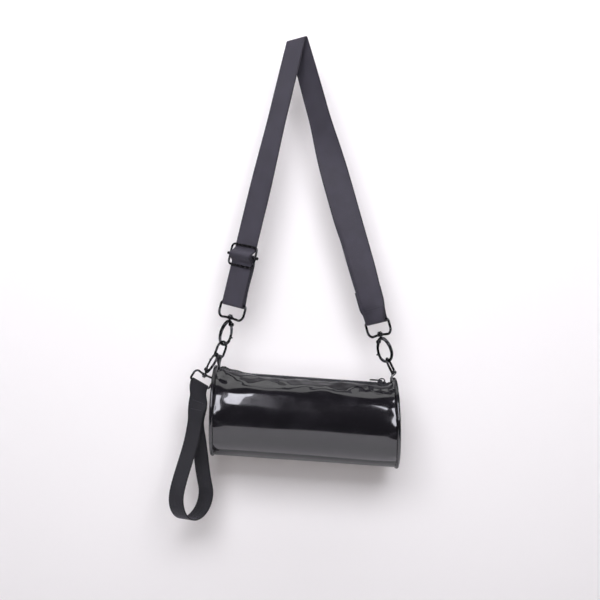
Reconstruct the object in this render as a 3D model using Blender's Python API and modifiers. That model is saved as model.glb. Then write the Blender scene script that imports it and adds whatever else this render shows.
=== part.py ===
"""Small barrel bag of glossy vinyl on a webbing shoulder strap, with a wrist strap on its left ring.

Metres, +Z up. The origin is the top of the shoulder strap, at the axis of the thin thing that it hangs
over. +X is to the right along the bag and +Y points away from the front.
"""

import math
from dataclasses import dataclass

import bmesh
import bpy
from mathutils import Matrix, Vector

# Shared clearances
GAP = 0.0003
MOVING_GAP = 0.0004
CUT_OVERRUN = 0.001

# Shoulder strap
WEBBING_WIDTH = 0.030
WEBBING_THICKNESS = 0.0012
CREASE_RADIUS = 0.0015
LEFT_LEG_LENGTH = 0.2900
RIGHT_LEG_LENGTH = 0.3121
FIRST_LEG_LEAN = math.radians(15)
HANG_ROUNDS = 12
CREASE_TURN = math.radians(47)
LEFT_TURN_SHARES = ((0.0, 1.0), (0.26, 0.98), (0.6, 0.79), (1.0, 0.8))
RIGHT_TURN_SHARES = ((0.0, 1.0), (0.25, 0.9), (0.54, 0.15), (0.78, 0.1), (0.92, 0.4), (1.0, 1.04))
RIGHT_SEWN_LENGTH = 0.035
LEFT_TAIL_LENGTH = 0.022
FOLD_TAPER_LENGTH = 0.016
CURL_WIDTH = 0.005
CURL_ANGLE = math.radians(50)
CURL_SHARES = ((0.0, 0.0), (0.6, 0.0), (0.72, 1.0), (0.93, 1.0), (1.0, 0.0))
FOLD_STEPS = 8
CREASE_STEPS = 6

# Adjuster on the left leg, its bar this far above the leg's end
ADJUSTER_RISE = 0.0524
ADJUSTER_PLACE = LEFT_LEG_LENGTH - ADJUSTER_RISE
ADJUSTER_WIRE = 0.0022
ADJUSTER_HEIGHT = 0.0224
ADJUSTER_CORNER = 0.004
ADJUSTER_EYE_WIRE = 0.0011
ADJUSTER_SIDE_ROOM = 0.0004
KNOB_DIAMETER = 0.0032
HUMP_ROOM = 0.0018
HUMP_INSET = 0.0018
HUMP_STEPS = 12
WRAP_LEAVE = math.radians(220)
WRAP_MEET = math.radians(28)
WRAP_STEPS = 10
LEFT_STEPS = 14
RIGHT_STEPS = 22

# Bag
BAG_LENGTH = 0.1936
BAG_DIAMETER = 0.0935
BAG_TILT = math.radians(4.0)
LEFT_END_LEAN = math.radians(2.1)
RIGHT_END_LEAN = math.radians(4.9)
VINYL = 0.001
PIPING_WIRE = 0.0038
TOP_SAG = 0.0041
LEFT_RISE_LENGTH = 0.016
RIGHT_RISE_LENGTH = 0.0095
BINDING_WIDTH = 0.006
BINDING_THICKNESS = 0.0005
BINDING_ROOM = 0.0004
PIPING_SINK_SHARE = 0.2
ROUND_SIDES = 40
BODY_STEPS = 32
BODY_ROWS = 14

# Zip
MOUTH_WIDTH = 0.012
TAPE_WIDTH = 0.0095
TAPE_THICKNESS = 0.0006
TAPE_ROOM = 0.0003
TOOTH_PITCH = 0.0047
TOOTH_SHIFT_SHARE = 0.5
TEETH_INSET = 0.01555
TEETH_START = TEETH_INSET - BAG_LENGTH / 2
TEETH_COUNT = int((BAG_LENGTH - 2 * TEETH_INSET) / TOOTH_PITCH - TOOTH_SHIFT_SHARE)
TEETH_THICKNESS = 0.0022
SPINE_INNER = 0.0016
SPINE_WIDTH = 0.0016
TOOTH_GAP = 0.00025
STOP_LENGTH = 0.0025
SLIDER_LENGTH = 0.009
SLIDER_PLATE = 0.001
SLIDER_WALL = 0.0008
BRIDGE_WIRE = 0.0014
BRIDGE_LENGTH = 0.006
BRIDGE_ROOM = 0.0005
PULL_WIRE = 0.0012
PULL_LENGTH = 0.0125
PULL_WIDTH = 0.0056
TAPE_CLOSE_SHARE = 0.3
TAPE_STEPS = 6

# Rings and tabs
RING_WIRE = 0.0025
RING_WIDTH = 0.015
RING_HEIGHT = 0.017
RING_CORNER = 0.003
TAB_WIDTH = 0.0065
TAB_OFFSET = 0.001
TAB_NECK = 0.0032
TAB_ROOT_DEPTH = 0.0045
TAB_WRAP_START = math.radians(-30)
TAB_WRAP_SWEEP = math.radians(240)

# Place of each ring's bar from the top corner of the bag's end: out along the bag, and up from it
LEFT_RING_OUT = -0.001922
LEFT_RING_RISE = 0.010708
RIGHT_RING_OUT = -0.001128
RIGHT_RING_RISE = 0.006319

# Chain of loops, hooks and rings
LEFT_CLASP_LEAN = math.radians(16.5)
RIGHT_CLASP_LEAN = math.radians(15)
LEFT_HOOK_SWIVEL = math.radians(0)
RIGHT_HOOK_SWIVEL = math.radians(24)
LEFT_RING_LEAN = math.radians(20)
RIGHT_RING_LEAN = math.radians(26)
LEFT_RING_TURN = math.radians(55)
RIGHT_RING_TURN = math.radians(74)

# Wrist strap
WRIST_WEBBING_WIDTH = 0.020
WRIST_WEBBING_THICKNESS = 0.0013
WRIST_LENGTH = 0.1435
WRIST_SEWN_END = 0.017
WRIST_SPLIT = 0.043
WRIST_LOOP_RADIUS = 0.0245
WRIST_LOOP_STEPS = 20
WRIST_LAYER_ROOM = 0.0003
WRIST_NECK = 0.007
WRIST_HOOK_PLACE = -0.0048
WRIST_STEM = Vector((-0.50, -0.10, -0.86))
WRIST_HOOK_SIDE = Vector((0.64, -0.77, 0))
WRIST_LOOP_SIDE = Vector((0.85, 0.42, -0.31))
WRIST_DRIFT_SHARES = ((0.0, 0.0), (0.35, -0.031), (0.8, -0.061), (1.0, -0.0675))
WRIST_TURN = math.radians(34)
WRIST_TURNED_SHARE = 0.29


@dataclass(frozen=True)
class Clasp:
    """Sizes of one swivel clasp, along its stem from the middle of the loop's bar."""

    webbing: float
    loop_wire: float
    loop_depth: float
    loop_shoulder: float
    loop_corner: float
    loop_dip: float
    boss_radius: float
    boss_height: float
    stem_radius: float
    head_radius: float
    head_height: float
    hook_width: float
    hook_height: float
    hook_taper_share: float
    hook_top_wire: float
    hook_low_wire: float
    gate_wire: float
    pivot_radius: float
    pivot_thickness: float
    tongue_thickness: float
    pin_radius: float
    nib_length: float
    nib_radius: float
    pivot_angle: float
    nose_angle: float

    @property
    def loop_half(self):
        """Half the bar's length between the centres of the loop's sides."""
        return self.webbing / 2 + GAP + self.loop_shoulder

    @property
    def hook_top(self):
        """Height of the hook's centreline at its top."""
        return -(self.loop_depth + self.boss_height / 2 + MOVING_GAP + self.hook_top_wire / 2)

    @property
    def hook_low(self):
        """Height of the hook's centreline at its low end."""
        return self.hook_top - self.hook_height

    @property
    def hung(self):
        """Distance from the bar to the centre of a ring's wire that hangs in the hook."""
        return -self.hook_low - self.hook_low_wire / 2 - GAP - RING_WIRE / 2


SHOULDER_CLASP = Clasp(
    webbing=WEBBING_WIDTH,
    loop_wire=0.0026,
    loop_depth=0.0149,
    loop_shoulder=0.0026,
    loop_corner=0.0068,
    loop_dip=0.0012,
    boss_radius=0.0029,
    boss_height=0.004,
    stem_radius=0.0012,
    head_radius=0.0021,
    head_height=0.001,
    hook_width=0.0148,
    hook_height=0.0255,
    hook_taper_share=0.16,
    hook_top_wire=0.0038,
    hook_low_wire=0.003,
    gate_wire=0.0026,
    pivot_radius=0.0022,
    pivot_thickness=0.0044,
    tongue_thickness=0.0014,
    pin_radius=0.0005,
    nib_length=0.002,
    nib_radius=0.0008,
    pivot_angle=math.radians(38),
    nose_angle=math.radians(126),
)
WRIST_CLASP = Clasp(
    webbing=WRIST_WEBBING_WIDTH,
    loop_wire=0.0022,
    loop_depth=0.0105,
    loop_shoulder=0.0018,
    loop_corner=0.0046,
    loop_dip=0.001,
    boss_radius=0.0026,
    boss_height=0.0034,
    stem_radius=0.001,
    head_radius=0.0018,
    head_height=0.0009,
    hook_width=0.0096,
    hook_height=0.0225,
    hook_taper_share=0.12,
    hook_top_wire=0.0028,
    hook_low_wire=0.0024,
    gate_wire=0.0021,
    pivot_radius=0.0019,
    pivot_thickness=0.0038,
    tongue_thickness=0.0012,
    pin_radius=0.00045,
    nib_length=0.0016,
    nib_radius=0.0007,
    pivot_angle=math.radians(38),
    nose_angle=math.radians(122),
)

# Shares of a gate's eye that its tongue takes, the thumb nib's drop for its reach, and the slant and overlap
# of the faces where the nose and the gate part, which let the gate swing inwards
TONGUE_SHARE = 0.7
PLATE_SHARE = 0.96
NIB_DROP_SHARE = 0.25
PARTING_SLANT = math.radians(22)
NOSE_TURN = math.radians(14)
HOOK_STEPS = 22
GATE_STEPS = 7

RADIUS = BAG_DIAMETER / 2
UP = Vector((0, 0, 1))
MERGE_SHARE = 0.01


def clear_scene():
    """Remove what the scene starts with."""
    for thing in list(bpy.data.objects):
        bpy.data.objects.remove(thing, do_unlink=True)


def new_collection(name, hidden=False):
    """Make a collection under the scene's own."""
    made = bpy.data.collections.new(name)
    bpy.context.scene.collection.children.link(made)
    made.hide_render = hidden
    return made


def material(name, colour, roughness, metallic=0.0, coat=0.0):
    """Principled material of one part."""
    made = bpy.data.materials.new(name)
    made.use_nodes = True
    shader = made.node_tree.nodes["Principled BSDF"]
    shader.inputs["Base Color"].default_value = (*colour, 1)
    shader.inputs["Roughness"].default_value = roughness
    shader.inputs["Metallic"].default_value = metallic
    shader.inputs["Coat Weight"].default_value = coat
    return made


def smoothstep(share):
    """Ease a share from 0 to 1."""
    share = min(max(share, 0.0), 1.0)
    return share * share * (3 - 2 * share)


def between(points, place):
    """Smoothly read a table of (place, value) pairs."""
    if place <= points[0][0]:
        return points[0][1]
    for (start, first), (end, last) in zip(points, points[1:]):
        if place <= end:
            return first + (last - first) * smoothstep((place - start) / (end - start))
    return points[-1][1]


def arc(centre, radius, start, end, steps):
    """Points (x, y) along an arc in degrees, both ends included."""
    angles = [math.radians(start + (end - start) * step / steps) for step in range(steps + 1)]
    return [(centre[0] + radius * math.cos(turn), centre[1] + radius * math.sin(turn)) for turn in angles]


def axes(origin, x_axis, z_axis):
    """Frame at origin: Z as given, X as near as it can be to the one given."""
    z_axis = z_axis.normalized()
    x_axis = (x_axis - x_axis.dot(z_axis) * z_axis).normalized()
    turn = Matrix((x_axis, z_axis.cross(x_axis), z_axis)).transposed().to_4x4()
    return Matrix.Translation(origin) @ turn


def plan(turn):
    """Level direction at this angle from +X towards the front."""
    return Vector((math.cos(turn), -math.sin(turn), 0))


def put(thing, collection, parent, matrix, paint):
    """Name the object's home, parent, place and material."""
    for home in list(thing.users_collection):
        home.objects.unlink(thing)
    collection.objects.link(thing)
    thing.parent = parent
    thing.matrix_local = matrix
    if paint:
        thing.data.materials.clear()
        thing.data.materials.append(paint)
    return thing


def empty(name, collection, parent, matrix):
    """Empty that carries a moving piece, on its joint's axis."""
    made = bpy.data.objects.new(name, None)
    made.empty_display_size = WEBBING_WIDTH / 2
    collection.objects.link(made)
    made.parent = parent
    made.matrix_local = matrix
    return made


def shade(thing, sharp=math.radians(40)):
    """Smooth shading with sharp edges kept."""
    thing.data.shade_smooth()
    thing.data.set_sharp_from_angle(angle=sharp)


def sheet(name, rows, thickness, offset=0.0):
    """Sheet through rows of points, made thick by Solidify."""
    across = len(rows[0]) - 1
    along = len(rows) - 1
    bpy.ops.mesh.primitive_grid_add(x_subdivisions=across, y_subdivisions=along, size=2)
    made = bpy.context.object
    made.name = name
    for vertex in made.data.vertices:
        column = round((vertex.co.x + 1) / 2 * across)
        row = round((vertex.co.y + 1) / 2 * along)
        vertex.co = rows[row][column]
    made.data.update()
    thick = made.modifiers.new("thickness", "SOLIDIFY")
    thick.thickness = thickness
    thick.offset = offset
    thick.use_even_offset = True
    shade(made)
    return made


def wire(name, points, radius, sides=2, cyclic=False, radii=None):
    """Round wire along the points; sides is the bevel resolution."""
    curve = bpy.data.curves.new(name, "CURVE")
    curve.dimensions = "3D"
    curve.bevel_depth = radius
    curve.bevel_resolution = sides
    curve.use_fill_caps = True
    spline = curve.splines.new("POLY")
    spline.points.add(len(points) - 1)
    spline.use_cyclic_u = cyclic
    spline.use_smooth = True
    for place, (point, at) in enumerate(zip(spline.points, points)):
        point.co = (*at, 1)
        point.radius = radii[place] if radii else 1
    made = bpy.data.objects.new(name, curve)
    bpy.context.scene.collection.objects.link(made)
    return made


def outline(name, points, thickness):
    """Flat piece with this outline in its XY plane."""
    curve = bpy.data.curves.new(name, "CURVE")
    curve.dimensions = "2D"
    curve.fill_mode = "BOTH"
    curve.extrude = thickness / 2
    spline = curve.splines.new("POLY")
    spline.points.add(len(points) - 1)
    spline.use_cyclic_u = True
    for point, at in zip(spline.points, points):
        point.co = (*at, 0, 1)
    made = bpy.data.objects.new(name, curve)
    bpy.context.scene.collection.objects.link(made)
    return made


def as_mesh(thing):
    """Turn a curve object into a closed mesh object of the same name."""
    bpy.context.view_layer.update()
    graph = bpy.context.evaluated_depsgraph_get()
    mesh = bpy.data.meshes.new_from_object(thing.evaluated_get(graph))
    bpy.context.view_layer.update()
    shape = bmesh.new()
    shape.from_mesh(mesh)
    bmesh.ops.remove_doubles(shape, verts=shape.verts, dist=GAP * MERGE_SHARE)
    bmesh.ops.recalc_face_normals(shape, faces=shape.faces)
    shape.to_mesh(mesh)
    shape.free()
    name = thing.name
    matrix = thing.matrix_world.copy()
    bpy.data.objects.remove(thing, do_unlink=True)
    made = bpy.data.objects.new(name, mesh)
    made.matrix_world = matrix
    bpy.context.scene.collection.objects.link(made)
    mesh.name = name
    shade(made)
    return made


def cylinder(name, radius, height, centre=(0, 0, 0), axis=UP, sides=16):
    """Cylinder mesh along an axis."""
    bpy.ops.mesh.primitive_cylinder_add(vertices=sides, radius=radius, depth=height)
    made = bpy.context.object
    made.name = name
    made.data.transform(Matrix.Translation(centre) @ Vector(axis).to_track_quat("Z", "Y").to_matrix().to_4x4())
    shade(made)
    return made


def box(name, low, high, matrix=None):
    """Box mesh between two corners, placed by an optional frame."""
    bpy.ops.mesh.primitive_cube_add(size=1)
    made = bpy.context.object
    made.name = name
    low = Vector(low)
    high = Vector(high)
    stretch = Matrix.Diagonal((*(high - low), 1))
    made.data.transform((matrix or Matrix()) @ Matrix.Translation((low + high) / 2) @ stretch)
    return made


def combine(body, operation, tool, helpers):
    """Boolean of two meshes that share a frame; the tool becomes a hidden helper."""
    step = body.modifiers.new(tool.name, "BOOLEAN")
    step.operation = operation
    step.solver = "EXACT"
    step.object = tool
    for home in list(tool.users_collection):
        home.objects.unlink(tool)
    helpers.objects.link(tool)
    tool.parent = body
    tool.hide_render = True
    tool.display_type = "WIRE"
    return body


class Leg:
    """One leg of the strap: a straight line from the crease to the bar of its loop."""

    def __init__(self, side, length, lean, turns, curl):
        self.length = length
        self.down = Vector((side * math.sin(lean), 0, -math.cos(lean)))
        self.turns = turns
        self.curl = curl

    def width_at(self, place):
        """Unit vector across the webbing, its right end nearer the front."""
        level = plan(CREASE_TURN * between(self.turns, place / self.length))
        square = (level - level.dot(self.down) * self.down).normalized()
        return level.lerp(square, smoothstep(place / WEBBING_WIDTH)).normalized()

    def row(self, place, height):
        """Points across the webbing at a place down the leg and a height in front of its line."""
        across = self.width_at(place)
        front = self.down.cross(across).normalized()
        middle = self.down * place + front * height
        half = WEBBING_WIDTH / 2
        bend = CURL_ANGLE * self.curl * between(CURL_SHARES, place / self.length)
        corner = middle - across * (half - CURL_WIDTH)
        edge = corner - CURL_WIDTH * (math.cos(bend) * across + math.sin(bend) * front)
        return [edge, corner, middle, middle + across * half]

    def frame_at(self, place, height):
        """Frame on the webbing: X across, Y to its back, Z up the leg."""
        across = self.width_at(place)
        front = self.down.cross(across).normalized()
        return axes(self.down * place + front * height, across, -self.down)


LAYER = WEBBING_THICKNESS + GAP
FOLD_RADIUS = SHOULDER_CLASP.loop_wire / 2 + GAP + WEBBING_THICKNESS / 2
WRAP_RADIUS = ADJUSTER_WIRE / 2 + GAP + WEBBING_THICKNESS / 2
FRAME_HEIGHT = FOLD_RADIUS + WEBBING_THICKNESS / 2 + GAP + ADJUSTER_WIRE / 2
HUMP_HEIGHT = FRAME_HEIGHT - FOLD_RADIUS + WRAP_RADIUS + LAYER + HUMP_ROOM
HUMP_HALF = ADJUSTER_HEIGHT / 2 - HUMP_INSET


def front_height(place):
    """Height of the left leg's front layer, with its hump over the adjuster's bar."""
    height = CREASE_RADIUS + (FOLD_RADIUS - CREASE_RADIUS) * smoothstep(place / (ADJUSTER_PLACE - HUMP_HALF))
    away = abs(place - ADJUSTER_PLACE) / HUMP_HALF
    if away < 1:
        height += HUMP_HEIGHT * (1 + math.cos(math.pi * away)) / 2
    return height


def left_path():
    """(place, height) pairs of the left leg, from its sewn tail to the crease."""
    bar = FRAME_HEIGHT
    level = FOLD_RADIUS - LAYER
    back = level - LAYER
    tail_end = ADJUSTER_PLACE + HUMP_HALF + LEFT_TAIL_LENGTH
    wrap = [WRAP_LEAVE + (WRAP_MEET - WRAP_LEAVE) * step / WRAP_STEPS for step in range(WRAP_STEPS + 1)]
    circle = [
        (ADJUSTER_PLACE - WRAP_RADIUS * math.sin(turn), bar - WRAP_RADIUS * math.cos(turn)) for turn in wrap
    ]
    slope = math.tan(WRAP_LEAVE - math.pi)
    path = [(tail_end, level), (circle[0][0] + (circle[0][1] - level) / slope, level)]
    path += circle
    last = circle[-1]
    path.append((last[0] + (last[1] - back) / math.tan(WRAP_MEET), back))
    path.append((tail_end, back))
    path.append((LEFT_LEG_LENGTH - FOLD_TAPER_LENGTH, back))
    fold = [math.pi * (step / FOLD_STEPS - 1 / 2) for step in range(FOLD_STEPS + 1)]
    path += [(LEFT_LEG_LENGTH + FOLD_RADIUS * math.cos(turn), FOLD_RADIUS * math.sin(turn)) for turn in fold]
    path.append((LEFT_LEG_LENGTH - FOLD_TAPER_LENGTH, front_height(LEFT_LEG_LENGTH)))
    hump = [ADJUSTER_PLACE + HUMP_HALF * (1 - 2 * step / HUMP_STEPS) for step in range(HUMP_STEPS + 1)]
    top = ADJUSTER_PLACE - HUMP_HALF
    rise = [top * (1 - step / LEFT_STEPS) for step in range(1, LEFT_STEPS)]
    path += [(place, front_height(place)) for place in hump + rise]
    return path


def right_path():
    """(place, height) pairs of the right leg, from the crease to its sewn end."""
    path = []
    for step in range(1, RIGHT_STEPS):
        share = step / RIGHT_STEPS
        place = (RIGHT_LEG_LENGTH - FOLD_TAPER_LENGTH) * share
        path.append((place, -CREASE_RADIUS + (FOLD_RADIUS + CREASE_RADIUS) * smoothstep(share)))
    path.append((RIGHT_LEG_LENGTH - FOLD_TAPER_LENGTH, FOLD_RADIUS))
    fold = [math.pi * (1 / 2 - step / FOLD_STEPS) for step in range(FOLD_STEPS + 1)]
    path += [(RIGHT_LEG_LENGTH + FOLD_RADIUS * math.cos(turn), FOLD_RADIUS * math.sin(turn)) for turn in fold]
    path.append((RIGHT_LEG_LENGTH - FOLD_TAPER_LENGTH / 2, FOLD_RADIUS - LAYER * 2))
    path.append((RIGHT_LEG_LENGTH - FOLD_TAPER_LENGTH, FOLD_RADIUS - LAYER))
    path.append((RIGHT_LEG_LENGTH - RIGHT_SEWN_LENGTH, FOLD_RADIUS - LAYER))
    return path


def make_strap(parts, paint):
    """The shoulder strap, one length of webbing from its sewn tail to its sewn end."""
    rows = [LEFT_LEG.row(place, height) for place, height in left_path()]
    across = plan(CREASE_TURN)
    front = Vector((-math.sin(CREASE_TURN), -math.cos(CREASE_TURN), 0))
    half = WEBBING_WIDTH / 2
    for step in range(CREASE_STEPS + 1):
        turn = math.pi * step / CREASE_STEPS
        middle = CREASE_RADIUS * (front * math.cos(turn) + UP * math.sin(turn))
        rows.append([middle + across * half * share for share in (-1, -(1 - CURL_WIDTH / half), 0, 1)])
    rows += [RIGHT_LEG.row(place, height) for place, height in right_path()]
    strap = sheet("shoulder_strap", rows, WEBBING_THICKNESS)
    return put(strap, parts, None, Matrix(), paint)


def rounded_loop(half_width, low, high, corner, steps=5):
    """Points (x, z) of a rounded rectangle, anticlockwise from its lower right corner."""
    inner = half_width - corner
    points = arc((inner, low + corner), corner, -90, 0, steps)
    points += arc((inner, high - corner), corner, 0, 90, steps)
    points += arc((-inner, high - corner), corner, 90, 180, steps)
    points += arc((-inner, low + corner), corner, 180, 270, steps)
    return points


def make_adjuster(parts, helpers, metal):
    """Wire frame in front of the webbing, and its centre bar, whose eyes slide on the frame's sides."""
    carrier = empty("adjuster", parts, None, LEFT_LEG.frame_at(ADJUSTER_PLACE, FRAME_HEIGHT))
    eye_radius = ADJUSTER_WIRE / 2 + GAP + ADJUSTER_EYE_WIRE / 2
    half = WEBBING_WIDTH / 2 + ADJUSTER_SIDE_ROOM + eye_radius + ADJUSTER_EYE_WIRE / 2
    points = rounded_loop(half, -ADJUSTER_HEIGHT / 2, ADJUSTER_HEIGHT / 2, ADJUSTER_CORNER)
    frame = wire("adjuster_frame", [(x, 0, z) for x, z in points], ADJUSTER_WIRE / 2, 2, True)
    put(frame, parts, carrier, Matrix(), metal)
    bar = cylinder("adjuster_bar", ADJUSTER_WIRE / 2, 2 * (half - eye_radius), axis=(1, 0, 0), sides=10)
    for side in (-1, 1):
        bpy.ops.mesh.primitive_torus_add(
            major_segments=14,
            minor_segments=6,
            major_radius=eye_radius,
            minor_radius=ADJUSTER_EYE_WIRE / 2,
        )
        eye = bpy.context.object
        eye.name = f"adjuster_eye_{side}"
        eye.data.transform(Matrix.Translation((side * half, 0, 0)))
        combine(bar, "UNION", eye, helpers)
        knob_place = side * (half + eye_radius + ADJUSTER_EYE_WIRE / 2)
        knob = cylinder(
            f"adjuster_knob_{side}", KNOB_DIAMETER / 2, ADJUSTER_EYE_WIRE * 2, (knob_place, 0, 0), (1, 0, 0), 10
        )
        combine(bar, "UNION", knob, helpers)
    put(bar, parts, carrier, Matrix(), metal)


def hook_point(clasp, angle, side):
    """Point (x, z) on the hook's centreline; angle 0 is the top, and side is the gate's."""
    share = (1 - math.cos(angle)) / 2
    lean = 1 - clasp.hook_taper_share * math.cos(angle)
    x = side * clasp.hook_width / 2 * math.sin(angle) * lean
    return x, clasp.hook_top - clasp.hook_height * share


def make_loop(name, clasp, parts, helpers, carrier, metal):
    """Swivel loop: a bar for the webbing, round sides and a bored boss in the middle of its low side."""
    half = clasp.loop_half
    inner = half - clasp.loop_corner
    top = half - clasp.loop_shoulder
    low = -clasp.loop_depth - clasp.loop_dip
    points = arc((inner, low + clasp.loop_corner), clasp.loop_corner, -80, 0, 6)
    points += arc((top, -clasp.loop_shoulder), clasp.loop_shoulder, 0, 90, 4)
    points += arc((-top, -clasp.loop_shoulder), clasp.loop_shoulder, 90, 180, 4)
    points += arc((-inner, low + clasp.loop_corner), clasp.loop_corner, 180, 260, 6)
    points += [(0, -clasp.loop_depth)]
    loop = wire(name, [(x, 0, z) for x, z in points], clasp.loop_wire / 2, 1, True)
    loop = as_mesh(loop)
    middle = (0, 0, -clasp.loop_depth)
    boss = cylinder(f"{name}_boss", clasp.boss_radius, clasp.boss_height, middle, UP, 12)
    combine(loop, "UNION", boss, helpers)
    bore_radius = clasp.stem_radius + GAP
    bore = cylinder(f"{name}_bore", bore_radius, clasp.boss_height + 2 * CUT_OVERRUN, middle, UP, 10)
    combine(loop, "DIFFERENCE", bore, helpers)
    put(loop, parts, carrier, Matrix(), metal)


def make_hook(name, clasp, side, parts, helpers, carrier, metal):
    """Hook, gate and gate pin of a clasp, in the plane of the carrier's X and Z axes."""
    pivot = hook_point(clasp, clasp.pivot_angle, side)
    end = hook_point(clasp, clasp.nose_angle, side)
    start = clasp.pivot_angle
    finish = clasp.nose_angle - NOSE_TURN - 2 * math.pi
    turns = [start + (finish - start) * step / HOOK_STEPS for step in range(HOOK_STEPS + 1)]
    points = [hook_point(clasp, turn, side) for turn in turns]
    wires = [
        clasp.hook_low_wire + (clasp.hook_top_wire - clasp.hook_low_wire) * (1 + math.cos(turn)) / 2
        for turn in turns
    ]
    radii = [size / clasp.hook_top_wire for size in wires]
    hook = wire(
        f"{name}_clasp_hook", [(x, 0, z) for x, z in points], clasp.hook_top_wire / 2, 2, False, radii
    )
    hook = as_mesh(hook)
    cheek = cylinder(
        f"{name}_cheeks", clasp.pivot_radius, clasp.pivot_thickness, (pivot[0], 0, pivot[1]), (0, 1, 0), 12
    )
    combine(hook, "UNION", cheek, helpers)
    head_base = -clasp.loop_depth + clasp.boss_height / 2 + GAP
    stem_low = clasp.hook_top
    stem = cylinder(
        f"{name}_stem",
        clasp.stem_radius,
        head_base + clasp.head_height / 2 - stem_low,
        (0, 0, (head_base + clasp.head_height / 2 + stem_low) / 2),
        UP,
        10,
    )
    combine(hook, "UNION", stem, helpers)
    head = cylinder(
        f"{name}_head", clasp.head_radius, clasp.head_height, (0, 0, head_base + clasp.head_height / 2), UP, 12
    )
    combine(hook, "UNION", head, helpers)
    along = Vector((end[0] - pivot[0], 0, end[1] - pivot[1]))
    reach = clasp.hook_top_wire
    slot_half = clasp.tongue_thickness / 2 + GAP
    turned = axes(Vector((pivot[0], 0, pivot[1])), along, Vector((0, 1, 0)))
    slot = box(
        f"{name}_slot",
        (-clasp.pivot_radius - GAP, -reach, -slot_half),
        (reach * 2, reach, slot_half),
        turned,
    )
    combine(hook, "DIFFERENCE", slot, helpers)
    bore_length = clasp.pivot_thickness + 2 * CUT_OVERRUN
    bore = cylinder(
        f"{name}_pin_bore", clasp.pin_radius + GAP, bore_length, (pivot[0], 0, pivot[1]), (0, 1, 0), 8
    )
    combine(hook, "DIFFERENCE", bore, helpers)
    parting = Vector((-side * math.sin(PARTING_SLANT), 0, math.cos(PARTING_SLANT)))
    parting_frame = axes(Vector((end[0], 0, end[1])), Vector((0, 1, 0)), parting)
    half = MOVING_GAP / 2
    nose_cut = box(f"{name}_nose_cut", (-reach, -reach, -half), (reach, reach, 2 * reach), parting_frame)
    combine(hook, "DIFFERENCE", nose_cut, helpers)
    put(hook, parts, carrier, Matrix(), metal)

    pin = cylinder(f"{name}_gate_pin", clasp.pin_radius, clasp.pivot_thickness, axis=(0, 1, 0), sides=8)
    put(pin, parts, carrier, Matrix.Translation((pivot[0], 0, pivot[1])), metal)

    begin = clasp.pivot_angle + (clasp.pivot_radius + GAP + clasp.gate_wire / 2) / (clasp.hook_height / 2)
    last = clasp.nose_angle + NOSE_TURN
    turns = [begin + (last - begin) * step / GATE_STEPS for step in range(GATE_STEPS + 1)]
    points = [hook_point(clasp, turn, side) for turn in turns]
    local = [(x - pivot[0], 0, z - pivot[1]) for x, z in points]
    gate = as_mesh(wire(f"{name}_clasp_gate", local, clasp.gate_wire / 2, 1))
    to_pivot = Matrix.Translation((-pivot[0], 0, -pivot[1]))
    gate_cut = box(f"{name}_gate_cut", (-reach, -reach, -2 * reach), (reach, reach, half), to_pivot @ parting_frame)
    combine(gate, "DIFFERENCE", gate_cut, helpers)
    tongue_radius = clasp.pivot_radius - GAP
    disc = cylinder(f"{name}_tongue_eye", tongue_radius, clasp.tongue_thickness, axis=(0, 1, 0), sides=12)
    combine(gate, "UNION", disc, helpers)
    first = Vector((local[1][0], 0, local[1][2]))
    turned = axes(Vector((0, 0, 0)), first, Vector((0, 1, 0)))
    half = clasp.tongue_thickness / 2
    plate = box(
        f"{name}_tongue",
        (0, -tongue_radius * TONGUE_SHARE, -half * PLATE_SHARE),
        (first.length, tongue_radius * TONGUE_SHARE, half * PLATE_SHARE),
        turned,
    )
    combine(gate, "UNION", plate, helpers)
    nib_at = local[-4]
    nib = cylinder(
        f"{name}_nib",
        clasp.nib_radius,
        clasp.nib_length * 2,
        (nib_at[0] + side * clasp.nib_radius, 0, nib_at[2]),
        (side, 0, -NIB_DROP_SHARE),
        8,
    )
    combine(gate, "UNION", nib, helpers)
    bore = cylinder(f"{name}_gate_bore", clasp.pin_radius + GAP, bore_length, axis=(0, 1, 0), sides=8)
    combine(gate, "DIFFERENCE", bore, helpers)
    put(gate, parts, carrier, Matrix.Translation((pivot[0], 0, pivot[1])), metal)


def chain_frame(leg, lean, side):
    """Frame of a shoulder clasp: origin at its loop's bar, X along the bar, Z up the stem."""
    bar = leg.width_at(leg.length)
    stem = Vector((-side * math.sin(lean), 0, math.cos(lean)))
    return axes(leg.down * leg.length, bar, stem - stem.dot(bar) * bar)


def ring_frame(clasp_frame, lean, turn, side):
    """Frame of a ring: origin in the middle of its bar, X along the bar, Z up to the hook."""
    up = Vector((-side * math.sin(lean), 0, math.cos(lean)))
    top = clasp_frame @ Vector((0, 0, -SHOULDER_CLASP.hung))
    return axes(top - up * RING_HEIGHT, plan(-turn), up)


def make_ring(name, parts, frame, parent, metal):
    """Wire ring with a straight bar at the bottom and a round top."""
    half = RING_WIDTH / 2
    points = arc((half - RING_CORNER, RING_CORNER), RING_CORNER, -90, 0, 4)
    points += arc((0, RING_HEIGHT - half), half, 0, 180, 12)
    points += arc((-half + RING_CORNER, RING_CORNER), RING_CORNER, 180, 270, 4)
    ring = wire(name, [(x, 0, z) for x, z in points], RING_WIRE / 2, 2, True)
    put(ring, parts, parent, frame, metal)


def end_place(side, height):
    """X of an end's plane at this height above the bag's axis; the planes lean."""
    lean = LEFT_END_LEAN if side < 0 else RIGHT_END_LEAN
    return side * BAG_LENGTH / 2 - height * math.tan(lean)


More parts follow.
